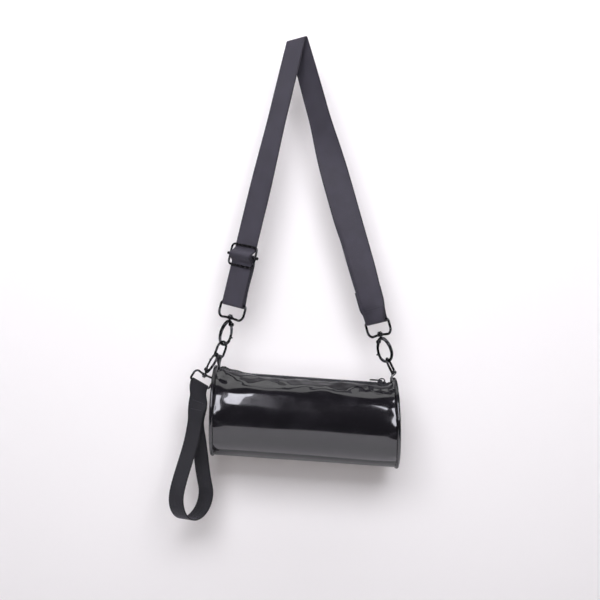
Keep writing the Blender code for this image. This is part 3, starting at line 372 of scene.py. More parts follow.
def draw_wire(
    name: str,
    path: Sequence[Point],
    radii: Sequence[float],
    sides: int = 14,
    closed: bool = False,
    depth_share: float = 1.0,
) -> Piece:
    """Wire in the XZ plane: a circle whose end is extruded, turned and scaled from point to point.

    Args:
        name: the object's name.
        path: points of its middle.
        radii: its radius at each point.
        sides: sides of its section.
        closed: whether its end meets its start.
        depth_share: half depth along Y as a share of the radius.

    Returns:
        The wire, closed at its ends by domes or by meeting itself.
    """
    path, radii = list(path), list(radii)
    count = len(path)
    if not closed:
        for end, near in ((0, 1), (-1, -2)):
            way = (Vector(path[end]) - Vector(path[near])).normalized()
            reach, corner = radii[end], Vector(path[end])
            dome = [
                (corner + way * reach * DOME_DEPTH * math.sin(math.radians(lift)), reach * math.cos(math.radians(lift)))
                for lift in DOME_LIFTS
            ]
            points = [tuple(point) for point, _ in dome]
            sizes = [size for _, size in dome]
            path = points[::-1] + path if end == 0 else path + points
            radii = sizes[::-1] + radii if end == 0 else radii + sizes
        count = len(path)
    headings = []
    for place in range(count):
        before = path[(place - 1) % count] if closed or place else path[place]
        after = path[(place + 1) % count] if closed or place < count - 1 else path[place]
        headings.append(math.atan2(after[1] - before[1], after[0] - before[0]))
    deselect()
    bpy.ops.mesh.primitive_circle_add(
        vertices=sides,
        radius=radii[0],
        location=(path[0][0], 0, path[0][1]),
        rotation=(0, math.pi / 2 - headings[0], 0),
    )
    made = bpy.context.object
    made.name = name
    bpy.ops.object.transform_apply(location=True, rotation=True, scale=True)
    bpy.ops.object.mode_set(mode="EDIT")
    bpy.ops.mesh.select_mode(type="VERT")
    bpy.ops.mesh.select_all(action="SELECT")
    if depth_share != 1:
        bpy.ops.transform.resize(value=(1, depth_share, 1), center_override=(path[0][0], 0, path[0][1]))
    if not closed:
        bpy.ops.mesh.edge_face_add()
    order = list(range(count)) + ([0] if closed else [])
    for last, this in zip(order, order[1:]):
        move = (path[this][0] - path[last][0], 0, path[this][1] - path[last][1])
        bpy.ops.mesh.extrude_region_move(TRANSFORM_OT_translate={"value": move})
        centre = (path[this][0], 0, path[this][1])
        turn = (headings[this] - headings[last] + math.pi) % (2 * math.pi) - math.pi
        if abs(turn) > 1e-7:
            bpy.ops.transform.rotate(value=turn, orient_axis="Y", center_override=centre)
        grow = radii[this] / radii[last]
        if abs(grow - 1) > 1e-7:
            bpy.ops.transform.resize(value=(grow, grow, grow), center_override=centre)
    bpy.ops.mesh.select_all(action="SELECT")
    bpy.ops.mesh.remove_doubles(threshold=1e-6)
    bpy.ops.mesh.normals_make_consistent(inside=False)
    bpy.ops.object.mode_set(mode="OBJECT")
    return made


def mesh_object(name: str, points: Sequence[Vector], faces: Sequence[Sequence[int]]) -> Piece:
    """Object of a mesh given by its points and faces.

    Args:
        name: its name.
        points: its points.
        faces: numbers of each face's points.

    Returns:
        The object.
    """
    mesh = bpy.data.meshes.new(name)
    mesh.from_pydata([tuple(point) for point in points], [], faces)
    made = bpy.data.objects.new(name, mesh)
    bpy.context.scene.collection.objects.link(made)
    return made


def lay_uv(thing: Piece, flat: Sequence[Point]) -> None:
    """Give each point its place on the flat cloth, in metres, as the UV map.

    Args:
        thing: the cloth.
        flat: a flat place for each point.
    """
    layer = thing.data.uv_layers.new(name="UVMap")
    for loop in thing.data.loops:
        layer.data[loop.index].uv = flat[loop.vertex_index]


def face_outwards(thing: Piece) -> None:
    """Turn the faces of a closed mesh outwards.

    Args:
        thing: the object.
    """
    hold(thing)
    bpy.ops.object.mode_set(mode="EDIT")
    bpy.ops.mesh.select_all(action="SELECT")
    bpy.ops.mesh.normals_make_consistent(inside=False)
    bpy.ops.object.mode_set(mode="OBJECT")


def cloth_sheet(
    name: str, rows: Sequence[Sequence[Vector]], flat: Sequence[Sequence[Point]], thickness: float, offset: float
) -> Piece:
    """Sheet through rows of points, made thick for good.

    Args:
        name: the object's name.
        rows: its points, row by row.
        flat: their places on the flat material.
        thickness: its thickness.
        offset: Solidify's offset.

    Returns:
        The sheet.
    """
    across = len(rows[0])
    points = [point for row in rows for point in row]
    faces = [
        (row * across + step, row * across + step + 1, (row + 1) * across + step + 1, (row + 1) * across + step)
        for row in range(len(rows) - 1)
        for step in range(across - 1)
    ]
    made = mesh_object(name, points, faces)
    lay_uv(made, [place for row in flat for place in row])
    return thicken(made, thickness, offset)


def thicken(sheet: Piece, thickness: float, offset: float) -> Piece:
    """Make an open sheet thick for good, with smooth faces.

    Args:
        sheet: the sheet.
        thickness: its thickness.
        offset: Solidify's offset.

    Returns:
        The sheet.
    """
    thick = sheet.modifiers.new("thickness", "SOLIDIFY")
    thick.thickness = thickness
    thick.offset = offset
    thick.use_even_offset = True
    hold(sheet)
    bpy.ops.object.modifier_apply(modifier=thick.name)
    face_outwards(sheet)
    smooth(sheet, 50)
    return sheet


@dataclass(frozen=True)
class Row:
    """One row across a strap: its middle, the unit vector across it and the turn of its curled edge."""

    middle: Vector
    across: Vector
    bend: float = 0.0


@dataclass(frozen=True)
class StrapCloth:
    """Section of a webbing strap."""

    width: float
    thickness: float
    curl_width: float = 0.0
    across_steps: int = 22
    curl_easing: float = 0.0016
    unevenness: float = 0.00005

    def section(self) -> list[Point]:
        """Closed section as (place across, height), its selvedges rounded.

        Returns:
            The section.
        """
        half, deep = self.width / 2, self.thickness / 2
        top = [(half - deep) * (2 * step / self.across_steps - 1) for step in range(self.across_steps + 1)]
        points = [(u, deep) for u in top]
        points += [(half - deep + deep * math.cos(t), deep * math.sin(t)) for t in (0.9, 0.3, -0.3, -0.9)]
        points += [(u, -deep) for u in reversed(top)]
        points += [(-half + deep - deep * math.cos(t), deep * math.sin(t)) for t in (-0.9, -0.3, 0.3, 0.9)]
        return points

    def place(self, u: float, height: float, row: Row, normal: Vector) -> Vector:
        """Point of the strap at a place across it and a height over its middle sheet.

        Args:
            u: place across.
            height: height.
            row: the row.
            normal: its normal.

        Returns:
            The point.
        """
        corner = -(self.width / 2 - self.curl_width)
        if not row.bend or u > corner:
            return row.middle + row.across * u + normal * height
        run, easing = corner - u, self.curl_easing
        turn = row.bend * min(run / easing, 1.0)
        radius = easing / row.bend
        left, back = radius * math.sin(turn), radius * (1 - math.cos(turn))
        if run > easing:
            left += (run - easing) * math.cos(turn)
            back += (run - easing) * math.sin(turn)
        spot = row.middle + row.across * (corner - left) - normal * back
        return spot + (normal * math.cos(turn) - row.across * math.sin(turn)) * height

    def make(self, name: str, rows: Sequence[Row]) -> Piece:
        """Weave the strap.

        Args:
            name: the object's name.
            rows: its rows, in order.

        Returns:
            A closed strap whose UV map is its flat cloth in metres.
        """
        section = self.section()
        size, count = len(section), len(rows)
        points, flat, run = [], [], 0.0
        for place, row in enumerate(rows):
            after, before = rows[min(place + 1, count - 1)].middle, rows[max(place - 1, 0)].middle
            normal = (after - before).cross(row.across).normalized()
            run += (row.middle - before).length if place else 0.0
            for u, height in section:
                rise = crumple(u / 0.012, run / 0.019, 3.7) * self.unevenness
                points.append(self.place(u, height + rise, row, normal))
                flat.append((u, run))
        faces = [
            (place * size + side, place * size + (side + 1) % size, (place + 1) * size + (side + 1) % size,
             (place + 1) * size + side)
            for place in range(count - 1)
            for side in range(size)
        ]
        faces += [tuple(range(size))[::-1], tuple(range((count - 1) * size, count * size))]
        made = mesh_object(name, points, faces)
        lay_uv(made, flat)
        face_outwards(made)
        smooth(made, 60)
        return made


@dataclass(frozen=True)
class Thread:
    """Sewing thread, one stitch modelled once and copied."""

    length: float = 0.0024
    gap: float = 0.0007
    radius: float = 0.00023

    def master(self) -> Piece:
        """One stitch: a short thread that dips into the cloth at both ends.

        Returns:
            The stitch.
        """
        steps = 6
        path = []
        for step in range(steps + 1):
            share = 2 * step / steps - 1
            path.append((share * self.length / 2, self.radius * (0.9 - 1.9 * abs(share) ** 3)))
        return draw_wire("stitch", path, [self.radius] * len(path), 6)

    def sew(self, name: str, line: Sequence[tuple[Vector, Vector]]) -> Piece:
        """Sew along a line.

        Args:
            name: the object's name.
            line: points of the seam, each with the cloth's outward normal.

        Returns:
            All stitches as one object.
        """
        runs = [0.0]
        for (last, _), (this, _) in zip(line, line[1:]):
            runs.append(runs[-1] + (this - last).length)
        pitch = self.length + self.gap
        count = max(1, int((runs[-1] + self.gap) / pitch))
        start = (runs[-1] - count * pitch + self.gap) / 2
        master = self.master()
        shape = [vertex.co.copy() for vertex in master.data.vertices]
        sides = [tuple(face.vertices) for face in master.data.polygons]
        bpy.data.objects.remove(master, do_unlink=True)
        points, faces, place = [], [], 0
        for number in range(count):
            run = start + number * pitch + self.length / 2
            while place < len(runs) - 2 and runs[place + 1] < run:
                place += 1
            (low, up_low), (high, up_high) = line[place], line[place + 1]
            share = (run - runs[place]) / max(runs[place + 1] - runs[place], 1e-9)
            spot, up = low.lerp(high, share), up_low.lerp(up_high, share)
            along = (high - low).normalized()
            put = axes(spot, along, up - up.dot(along) * along)
            base = len(points)
            points += [put @ co for co in shape]
            faces += [tuple(base + corner for corner in side) for side in sides]
        made = mesh_object(name, points, faces)
        made.data.shade_smooth()
        return made


# ---- finishes


class Graph:
    """A node tree that is filled one node at a time."""

    def __init__(self, tree: bpy.types.NodeTree) -> None:
        """Start on a tree."""
        self.tree = tree

    def add(self, kind: str, inputs: dict | None = None, **settings: object) -> bpy.types.Node:
        """Add a node.

        Args:
            kind: its type without the ShaderNode prefix.
            inputs: values or output sockets by input name or number.
            settings: its own settings.

        Returns:
            The node.
        """
        node = self.tree.nodes.new(kind if kind.startswith("Node") else f"ShaderNode{kind}")
        for name, value in settings.items():
            setattr(node, name, value)
        self.feed(node, inputs or {})
        return node

    def feed(self, node: bpy.types.Node, inputs: dict) -> None:
        """Set or link a node's inputs.

        Args:
            node: the node.
            inputs: values or output sockets by input name or number.
        """
        for key, value in inputs.items():
            if isinstance(value, Socket):
                self.tree.links.new(value, node.inputs[key])
            else:
                node.inputs[key].default_value = value

    def put_out(self, outputs: dict) -> bpy.types.NodeTree:
        """Link a group's outputs.

        Args:
            outputs: sockets by the output's name.

        Returns:
            The group.
        """
        self.feed(self.tree.nodes["Group Output"], outputs)
        return self.tree

    def math(self, operation: str, first: object, second: object = 0.0, third: object = 0.0) -> Socket:
        """One sum of numbers or sockets."""
        return self.add("Math", {0: first, 1: second, 2: third}, operation=operation).outputs[0]

    def span(self, value: object, low: float, high: float, to_low: float = 0.0, to_high: float = 1.0) -> Socket:
        """Read a value between two limits as another range, eased."""
        inputs = {"Value": value, "From Min": low, "From Max": high, "To Min": to_low, "To Max": to_high}
        return self.add("MapRange", inputs, interpolation_type="SMOOTHSTEP").outputs[0]

    def blend(self, share: object, first: object, second: object) -> Socket:
        """Mix two colours."""
        return self.add("Mix", {0: share, 6: first, 7: second}, data_type="RGBA").outputs[2]

    def noise(self, vector: object, scale: float, detail: float = 2.0, rough: float = 0.5) -> Socket:
        """Noise from 0 to 1 at a point."""
        return self.add("TexNoise", {"Vector": vector, "Scale": scale, "Detail": detail, "Roughness": rough}).outputs[0]

    def bump(self, height: object, distance: float, strength: float = 1.0, normal: object = None) -> Socket:
        """Normal of a relief; distance is its height in metres.

        Args:
            height: the relief.
            distance: its height.
            strength: its strength.
            normal: what it starts from.

        Returns:
            The normal.
        """
        inputs = {"Height": height, "Distance": distance, "Strength": strength}
        if normal is not None:
            inputs["Normal"] = normal
        return self.add("Bump", inputs).outputs[0]


def node_group(name: str, inputs: Sequence[tuple[str, str]], outputs: Sequence[tuple[str, str]]) -> Graph:
    """Start a node group.

    Args:
        name: its name.
        inputs: names and socket types of its inputs.
        outputs: names and socket types of its outputs.

    Returns:
        Its graph, with a group input and a group output in it.
    """
    tree = bpy.data.node_groups.new(name, "ShaderNodeTree")
    for label, kind in inputs:
        tree.interface.new_socket(name=label, in_out="INPUT", socket_type=kind)
    for label, kind in outputs:
        tree.interface.new_socket(name=label, in_out="OUTPUT", socket_type=kind)
    graph = Graph(tree)
    graph.add("NodeGroupInput")
    graph.add("NodeGroupOutput")
    return graph


def weave_group() -> bpy.types.NodeTree:
    """Woven cloth: ribs that slant back and forth across the width, with warp yarns between them.

    Returns:
        The group.
    """
    floats = "NodeSocketFloat"
    graph = node_group(
        "woven cloth",
        (("Cloth", "NodeSocketVector"), ("Rib", floats), ("Yarn", floats), ("Slant Width", floats)),
        (("Height", floats), ("Painted Rib Shade", floats), ("Unevenness", floats)),
    )
    given = graph.tree.nodes["Group Input"].outputs
    cut = graph.add("SeparateXYZ", {0: given["Cloth"]})
    across, along = cut.outputs[0], cut.outputs[1]
    slant = graph.math("PINGPONG", across, given["Slant Width"])
    phase = graph.math("DIVIDE", graph.math("ADD", along, slant), given["Rib"])
    rib = graph.math("SINE", graph.math("MULTIPLY", phase, 2 * math.pi))
    yarn = graph.math("SINE", graph.math("MULTIPLY", graph.math("DIVIDE", across, given["Yarn"]), 2 * math.pi))
    rib = graph.math("MULTIPLY_ADD", rib, 0.5, 0.5)
    yarn = graph.math("MULTIPLY_ADD", yarn, 0.5, 0.5)
    height = graph.math("MULTIPLY_ADD", rib, 0.6, graph.math("MULTIPLY", yarn, 0.4))
    fuzz = graph.noise(given["Cloth"], 2600.0, 2.0)
    height = graph.math("MULTIPLY_ADD", fuzz, 0.25, height)
    uneven = graph.noise(given["Cloth"], 55.0, 3.0, 0.6)
    # The rib's height also gives the colour: painted shade in its valleys, a painted highlight on its crests.
    return graph.put_out({"Height": height, "Painted Rib Shade": rib, "Unevenness": uneven})


def handling_group() -> bpy.types.NodeTree:
    """Traces of handling: cloudy smudges, fine specks and a soft unevenness of the surface.

    Returns:
        The group.
    """
    floats = "NodeSocketFloat"
    graph = node_group(
        "traces of handling",
        (("Place", "NodeSocketVector"), ("Smudge Size", floats)),
        (("Smudges", floats), ("Specks", floats), ("Ripple", floats)),
    )
    given = graph.tree.nodes["Group Input"].outputs
    scaled = graph.add("VectorMath", {0: given["Place"], "Scale": given["Smudge Size"]}, operation="SCALE").outputs[0]
    smudges = graph.span(graph.noise(scaled, 1.0, 4.0, 0.62), 0.42, 0.66)
    specks = graph.span(graph.noise(scaled, 14.0, 2.0, 0.5), 0.62, 0.72)
    ripple = graph.noise(scaled, 3.2, 1.0, 0.4)
    return graph.put_out({"Smudges": smudges, "Specks": specks, "Ripple": ripple})


class Effect(Enum):
    """Node groups that several finishes share."""

    WEAVE = "woven cloth"
    HANDLING = "traces of handling"

    def place(self, graph: Graph, inputs: dict) -> bpy.types.Node:
        """Put this group into a material.

        Args:
            graph: the material's graph.
            inputs: its inputs' values.

        Returns:
            The group node.
        """
        if self.value not in bpy.data.node_groups:
            weave_group() if self is Effect.WEAVE else handling_group()
        return graph.add("Group", inputs, node_tree=bpy.data.node_groups[self.value])


def start_material(name: str) -> tuple[Paint, Graph, bpy.types.Node]:
    """Principled material with its graph and shader.

    Args:
        name: its name.

    Returns:
        The material, its graph and its shader.
    """
    made = bpy.data.materials.new(name)
    made.use_nodes = True
    graph = Graph(made.node_tree)
    return made, graph, made.node_tree.nodes["Principled BSDF"]


def set_up(graph: Graph, shader: bpy.types.Node, **inputs: object) -> None:
    """Feed a shader's inputs, named with underscores for blanks."""
    graph.feed(shader, {name.replace("_", " "): value for name, value in inputs.items()})


@dataclass(frozen=True)
class WebbingFinish:
    """Woven polyester strap with slanting ribs whose valleys carry painted shade and whose crests carry a painted
    highlight, and darker towards both edges.
    """

    name: str
    colour: Colour
    half_width: float
    rib: float = 0.00105
    yarn: float = 0.0006
    relief: float = 0.00012
    slant_width: float = 0.0025

    def make(self) -> Paint:
        """Build the material.

        Returns:
            The material.
        """
        made, graph, shader = start_material(self.name)
        cloth = graph.add("UVMap", uv_map="UVMap").outputs[0]
        inputs = {"Cloth": cloth, "Rib": self.rib, "Yarn": self.yarn, "Slant Width": self.slant_width}
        weave = Effect.WEAVE.place(graph, inputs)
        across = graph.math("ABSOLUTE", graph.add("SeparateXYZ", {0: cloth}).outputs[0])
        # Darker towards both edges of the strap.
        selvedge = graph.span(across, self.half_width - 0.0016, self.half_width - 0.0006)
        # Painted shade in the rib valleys and a painted highlight on the crests, following the weave's relief.
        valley_shade = tuple(part * 0.6 for part in self.colour)
        light = tuple(part * 1.18 for part in self.colour)
        shade = graph.blend(weave.outputs["Painted Rib Shade"], (*valley_shade, 1), (*light, 1))
        worn = graph.span(weave.outputs["Unevenness"], 0.3, 0.7, 0.86, 1.12)
        shade = graph.add("VectorMath", {0: shade, "Scale": worn}, operation="SCALE").outputs[0]
        edge = tuple(part * 0.42 for part in self.colour)
        set_up(
            graph,
            shader,
            Base_Color=graph.blend(selvedge, shade, (*edge, 1)),
            Roughness=graph.span(weave.outputs["Unevenness"], 0.3, 0.7, 0.62, 0.78),
            Normal=graph.bump(weave.outputs["Height"], self.relief, 0.8),
            Sheen_Weight=0.25,
            Sheen_Roughness=0.4,
            Sheen_Tint=(0.8, 0.78, 0.9, 1),
            Specular_IOR_Level=0.35,
        )
        return made


@dataclass(frozen=True)
class PatentVinyl:
    """Glossy coated vinyl, near black, with faint smudges and a fine grain."""

    name: str = "patent vinyl"
    colour: Colour = (0.0062, 0.0055, 0.0078)

    def make(self) -> Paint:
        """Build the material.

        Returns:
            The material.
        """
        made, graph, shader = start_material(self.name)
        place = graph.add("TexCoord").outputs["Object"]
        traces = Effect.HANDLING.place(graph, {"Place": place, "Smudge Size": 38.0})
        worn = tuple(part * 1.35 for part in self.colour)
        set_up(
            graph,
            shader,
            Base_Color=graph.blend(traces.outputs["Smudges"], (*self.colour, 1), (*worn, 1)),
            Roughness=graph.span(traces.outputs["Smudges"], 0.0, 1.0, 0.14, 0.2),
            Normal=graph.bump(graph.noise(place, 900.0, 2.0), 0.00002, 0.35),
            Coat_Weight=1.0,
            Coat_Roughness=0.018,
            Coat_IOR=1.52,
            Specular_IOR_Level=0.5,
        )
        return made


@dataclass(frozen=True)
class Gunmetal:
    """Plated cast metal: dark, polished, softly uneven, with rubbed light patches."""

    name: str = "gunmetal plate"
    colour: Colour = (0.052, 0.051, 0.056)
    rubbed: Colour = (0.15, 0.147, 0.152)
    edge_tint: Colour = (0.45, 0.45, 0.47)

    def make(self) -> Paint:
        """Build the material.

        Returns:
            The material.
        """
        made, graph, shader = start_material(self.name)
        place = graph.add("TexCoord").outputs["Object"]
        traces = Effect.HANDLING.place(graph, {"Place": place, "Smudge Size": 260.0})
        rub = graph.math("MULTIPLY", traces.outputs["Smudges"], 0.45)
        set_up(
            graph,
            shader,
            Base_Color=graph.blend(rub, (*self.colour, 1), (*self.rubbed, 1)),
            Roughness=graph.span(traces.outputs["Smudges"], 0.0, 1.0, 0.2, 0.32),
            Normal=graph.bump(traces.outputs["Ripple"], 0.0001, 0.5),
            Metallic=1.0,
            Specular_Tint=(*self.edge_tint, 1),
        )
        return made


@dataclass(frozen=True)
class MouldedPlastic:
    """Glossy moulded plastic of the zip's teeth."""

    name: str = "zip teeth plastic"
    colour: Colour = (0.012, 0.012, 0.015)

    def make(self) -> Paint:
        """Build the material.

        Returns:
            The material.
        """
        made, graph, shader = start_material(self.name)
        place = graph.add("TexCoord").outputs["Object"]
        traces = Effect.HANDLING.place(graph, {"Place": place, "Smudge Size": 320.0})
        worn = tuple(part * 1.8 for part in self.colour)
        set_up(
            graph,
            shader,
            Base_Color=graph.blend(traces.outputs["Specks"], (*self.colour, 1), (*worn, 1)),
            Roughness=graph.span(traces.outputs["Smudges"], 0.0, 1.0, 0.12, 0.24),
            Normal=graph.bump(traces.outputs["Ripple"], 0.00008, 0.5),
            Coat_Weight=1.0,
            Coat_Roughness=0.08,
            Coat_IOR=1.8,
            Specular_IOR_Level=0.9,
        )
        return made


@dataclass(frozen=True)
class ThreadFinish:
    """Twisted bonded thread."""

    name: str
    colour: Colour

    def make(self) -> Paint:
        """Build the material.

        Returns:
            The material.
        """
        made, graph, shader = start_material(self.name)
        place = graph.add("TexCoord").outputs["Object"]
        twist = graph.noise(place, 4200.0, 1.0)
        light = tuple(part * 1.7 for part in self.colour)
        set_up(
            graph,
            shader,
            Base_Color=graph.blend(twist, (*self.colour, 1), (*light, 1)),
            Roughness=graph.span(twist, 0.3, 0.7, 0.45, 0.6),
            Normal=graph.bump(twist, 0.0001, 0.6),
        )
        return made


@dataclass(frozen=True)
class Finishes:
    """All finishes of the bag."""

    shoulder: Paint
    wrist: Paint
    vinyl: Paint
    metal: Paint
    plastic: Paint
    tape: Paint
    webbing_thread: Paint
    vinyl_thread: Paint

    @classmethod
    def make(cls) -> "Finishes":
        """Build them all.

        Returns:
            The finishes.
        """
        return cls(
            shoulder=WebbingFinish("shoulder webbing", (0.05, 0.045, 0.064), 0.015).make(),
            wrist=WebbingFinish("wrist webbing", (0.0195, 0.0185, 0.0235), 0.01).make(),
            vinyl=PatentVinyl().make(),
            metal=Gunmetal().make(),
            plastic=MouldedPlastic().make(),
            tape=WebbingFinish("zip tape cloth", (0.012, 0.012, 0.015), 0.05, 0.0006, 0.0004, 0.00006).make(),
            webbing_thread=ThreadFinish("strap thread", (0.022, 0.02, 0.028)).make(),
            vinyl_thread=ThreadFinish("bag thread", (0.012, 0.012, 0.014)).make(),
        )


class Slot(Enum):
    """Material slots of the record."""

    WEBBING = "webbing"
    WRIST = "wrist_webbing"
    METAL = "gunmetal"
    VINYL = "vinyl"
    CLOTH = "zip_tape"
    PLASTIC = "zip_teeth"


def dress(
    thing: Piece,
    paint: Paint,
    body: str | None = None,
    stands_for: Iterable[str] = (),
) -> Piece:
    """Finish a piece.

    Args:
        thing: the piece, in its place.
        paint: its material.
        body: the body that it rides on, or none where it is left unattached.
        stands_for: CAD nodes that it replaces.

    Returns:
        The piece.
    """
    thing.data.materials.clear()
    thing.data.materials.append(paint)
    if body:
        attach(thing, body)
    if stands_for:
        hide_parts(*stands_for)
    LOG.info("%s: %d faces, on %s", thing.name, len(thing.data.polygons), body or "two bodies")
    return thing


# ---- shoulder strap


@dataclass(frozen=True)
class Leg:
    """One leg of the shoulder strap: a straight line from the crease to the bar of its loop."""

    side: int
    length: float
    lean: float
    turns: Table
    curl: float
    crease_turn: float = math.radians(47)
    width: float = 0.030
    curl_angle: float = math.radians(50)
    curl_shares: Table = ((0.0, 0.0), (0.6, 0.0), (0.72, 1.0), (0.93, 1.0), (1.0, 0.0))

    @property
    def down(self) -> Vector:
        """Unit vector down the leg."""
        return Vector((self.side * math.sin(self.lean), 0, -math.cos(self.lean)))

    def width_at(self, place: float) -> Vector:
        """Unit vector across the webbing, its right end nearer the front.

        Args:
            place: distance down the leg.

        Returns:
            The vector.
        """
        level = plan(self.crease_turn * between(self.turns, place / self.length))
        square = (level - level.dot(self.down) * self.down).normalized()
        return level.lerp(square, smoothstep(place / self.width)).normalized()

    def row(self, place: float, height: float) -> Row:
        """Row of the strap at a place down the leg and a height in front of its line.

        Args:
            place: distance down the leg.
            height: height in front of its line.

        Returns:
            The row.
        """
        across = self.width_at(place)
        front = self.down.cross(across).normalized()
        bend = self.curl_angle * self.curl * between(self.curl_shares, place / self.length)
        return Row(self.down * place + front * height, across, bend)

    def frame_at(self, place: float, height: float) -> Matrix:
        """Frame on the webbing: X across, Y to its back, Z up the leg."""
        row = self.row(place, height)
        return axes(row.middle, row.across, -self.down)


LEFT_LEG = Leg(-1, 0.2900, math.radians(13.5), ((0.0, 1.0), (0.26, 0.98), (0.6, 0.79), (1.0, 0.8)), 0.0)
RIGHT_LEG = Leg(
    1,
    0.3121,
    math.radians(15.8),
    ((0.0, 1.0), (0.25, 0.9), (0.54, 0.15), (0.78, 0.1), (0.92, 0.4), (1.0, 1.04)),
    1.0,
)


@dataclass
class ShoulderStrap:
    """One length of webbing from its sewn tail behind the adjuster to its sewn right end."""

    thickness: float = 0.0012
    crease_radius: float = 0.0015
    fold_radius: float = 0.0013 + GAP + 0.0006
    fold_taper: float = 0.016
    sewn_length: float = 0.035
    tail_length: float = 0.022
    place: float = 0.2376
    adjuster_wire: float = 0.0022
    adjuster_height: float = 0.0224
    hump_room: float = 0.0018
    hump_inset: float = 0.0018
    hump_steepness: float = 1.5
    wrap_leave: float = math.radians(220)
    wrap_meet: float = math.radians(28)
    step: float = 0.0016

    def __post_init__(self) -> None:
        """Work out the heights of the layers."""
        self.cloth = StrapCloth(0.030, self.thickness, 0.005)
        self.layer = self.thickness + GAP
        self.wrap_radius = self.adjuster_wire / 2 + GAP + self.thickness / 2
        self.frame_height = self.fold_radius + self.thickness / 2 + GAP + self.adjuster_wire / 2
        self.hump_height = self.frame_height - self.fold_radius + self.wrap_radius + self.layer + self.hump_room
        self.hump_half = self.adjuster_height / 2 - self.hump_inset
        self.hump_top = self.place - self.hump_half
        self.tail_end = self.place + self.hump_half + self.tail_length

    def front_height(self, place: float) -> float:
        """Height of the left leg's front layer, with its hump over the adjuster's bar.

        Args:
            place: distance down the leg.

        Returns:
            The height.
        """
        eased = smoothstep(place / self.hump_top)
        height = self.crease_radius + (self.fold_radius - self.crease_radius) * eased
        away = abs(place - self.place) / self.hump_half
        if away < 1:
            height += self.hump_height * ((1 + math.cos(math.pi * away)) / 2) ** self.hump_steepness
        return height

    def back_path(self) -> list[Point]:
        """(place, height) of the back layer: sewn tail, round the adjuster's bar and down to the fold.

        Returns:
            The pairs.
        """
        bar, level = self.frame_height, self.fold_radius - self.layer
        back = level - self.layer
        wrap = [self.wrap_leave + (self.wrap_meet - self.wrap_leave) * step / 16 for step in range(17)]
        circle = [
            (self.place - self.wrap_radius * math.sin(turn), bar - self.wrap_radius * math.cos(turn)) for turn in wrap
        ]
        slope = math.tan(self.wrap_leave - math.pi)
        path = [(self.tail_end, level), (circle[0][0] + (circle[0][1] - level) / slope, level), *circle]
        last = circle[-1]
        path.append((last[0] + (last[1] - back) / math.tan(self.wrap_meet), back))
        path += [(self.tail_end, back), (LEFT_LEG.length - self.fold_taper, back)]
        return path

    def fold_path(self, leg: Leg, back: float, front: float) -> list[Point]:
        """(place, height) of a fold round a loop's bar, from its back layer to its front one.

        Args:
            leg: the leg.
            back: height behind.
            front: height in front.

        Returns:
            The pairs.
        """
        turns = [math.pi * (step / 18 - 1 / 2) for step in range(19)]
        path = [(leg.length - self.fold_taper, back)]
        path += [(leg.length + self.fold_radius * math.cos(turn), self.fold_radius * math.sin(turn)) for turn in turns]
        path.append((leg.length - self.fold_taper, front))
        return path

    def front_rows(self, start: float, end: float) -> list[Row]:
        """Rows of the left leg's front layer from a place to a higher one.

        Args:
            start: where they start.
            end: where they end.

        Returns:
            The rows.
        """
        count = math.ceil(abs(end - start) / self.step)
        places = [start + (end - start) * step / count for step in range(count + 1)]
        return [LEFT_LEG.row(place, self.front_height(place)) for place in places]

    def rows(self, leg: Leg, path: Sequence[Point]) -> list[Row]:
        """Rows of a leg along a smoothed path."""
        return [leg.row(place, height) for place, height in resample(path, self.step)]

    def right_rows(self) -> list[Row]:
        """Rows of the crease, the right leg and its sewn end.

        Returns:
            The rows.
        """
        across = plan(LEFT_LEG.crease_turn)
        front = Vector((-math.sin(LEFT_LEG.crease_turn), -math.cos(LEFT_LEG.crease_turn), 0))
        rows = []
        for step in range(13):
            turn = math.pi * step / 12
            rows.append(Row(self.crease_radius * (front * math.cos(turn) + UP * math.sin(turn)), across))
        count = 180
        for step in range(1, count):
            share = step / count
            height = -self.crease_radius + (self.fold_radius + self.crease_radius) * smoothstep(share)
            rows.append(RIGHT_LEG.row((RIGHT_LEG.length - self.fold_taper) * share, height))
        level = self.fold_radius - self.layer
        fold = self.fold_path(RIGHT_LEG, level, self.fold_radius)[::-1]
        fold.insert(-1, (RIGHT_LEG.length - self.fold_taper / 2, self.fold_radius - self.layer * 2))
        fold.append((RIGHT_LEG.length - self.sewn_length, level))
        return rows + self.rows(RIGHT_LEG, fold)

    def seams(self) -> list[tuple[str, list[tuple[Vector, Vector]], str | None]]:
        """Seam lines with the bodies that they ride on, or none for the seams at the right end.

        Returns:
            Name, line and body of each.
        """
        made = []
        top = self.fold_radius + self.thickness / 2
        inner = self.cloth.width / 2 - 0.003
        for number, place in enumerate((RIGHT_LEG.length - 0.012, RIGHT_LEG.length - 0.0145)):
            row = RIGHT_LEG.row(place, top)
            normal = RIGHT_LEG.down.cross(row.across).normalized()
            line = [(row.middle + row.across * u, normal) for u in (-inner + 0.002, 0, inner)]
            made.append((f"right_end_stitches_{number}", line, None))
        back = self.fold_radius - self.layer * 2 - self.thickness / 2
        for number, place in enumerate((self.tail_end - 0.0115, self.tail_end - 0.018)):
            row = LEFT_LEG.row(place, back)
            normal = -LEFT_LEG.down.cross(row.across).normalized()
            line = [(row.middle + row.across * u, normal) for u in (-inner, 0, inner)]
            made.append((f"tail_stitches_{number}", line, "adjuster_centre"))
        return made

    def build(self, finishes: Finishes) -> None:
        """Weave the strap in lengths, baked in place, and sew its seams.

        Args:
            finishes: the finishes.
        """
        fold_start = LEFT_LEG.length - self.fold_taper
        back = self.fold_radius - self.layer * 2

        def spot(place: float) -> Vector:
            """Point on the left leg's line."""
            return LEFT_LEG.down * place

        def follow_right_loop(piece: Piece) -> None:
            """Bake a piece's place into its mesh."""
            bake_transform(piece)

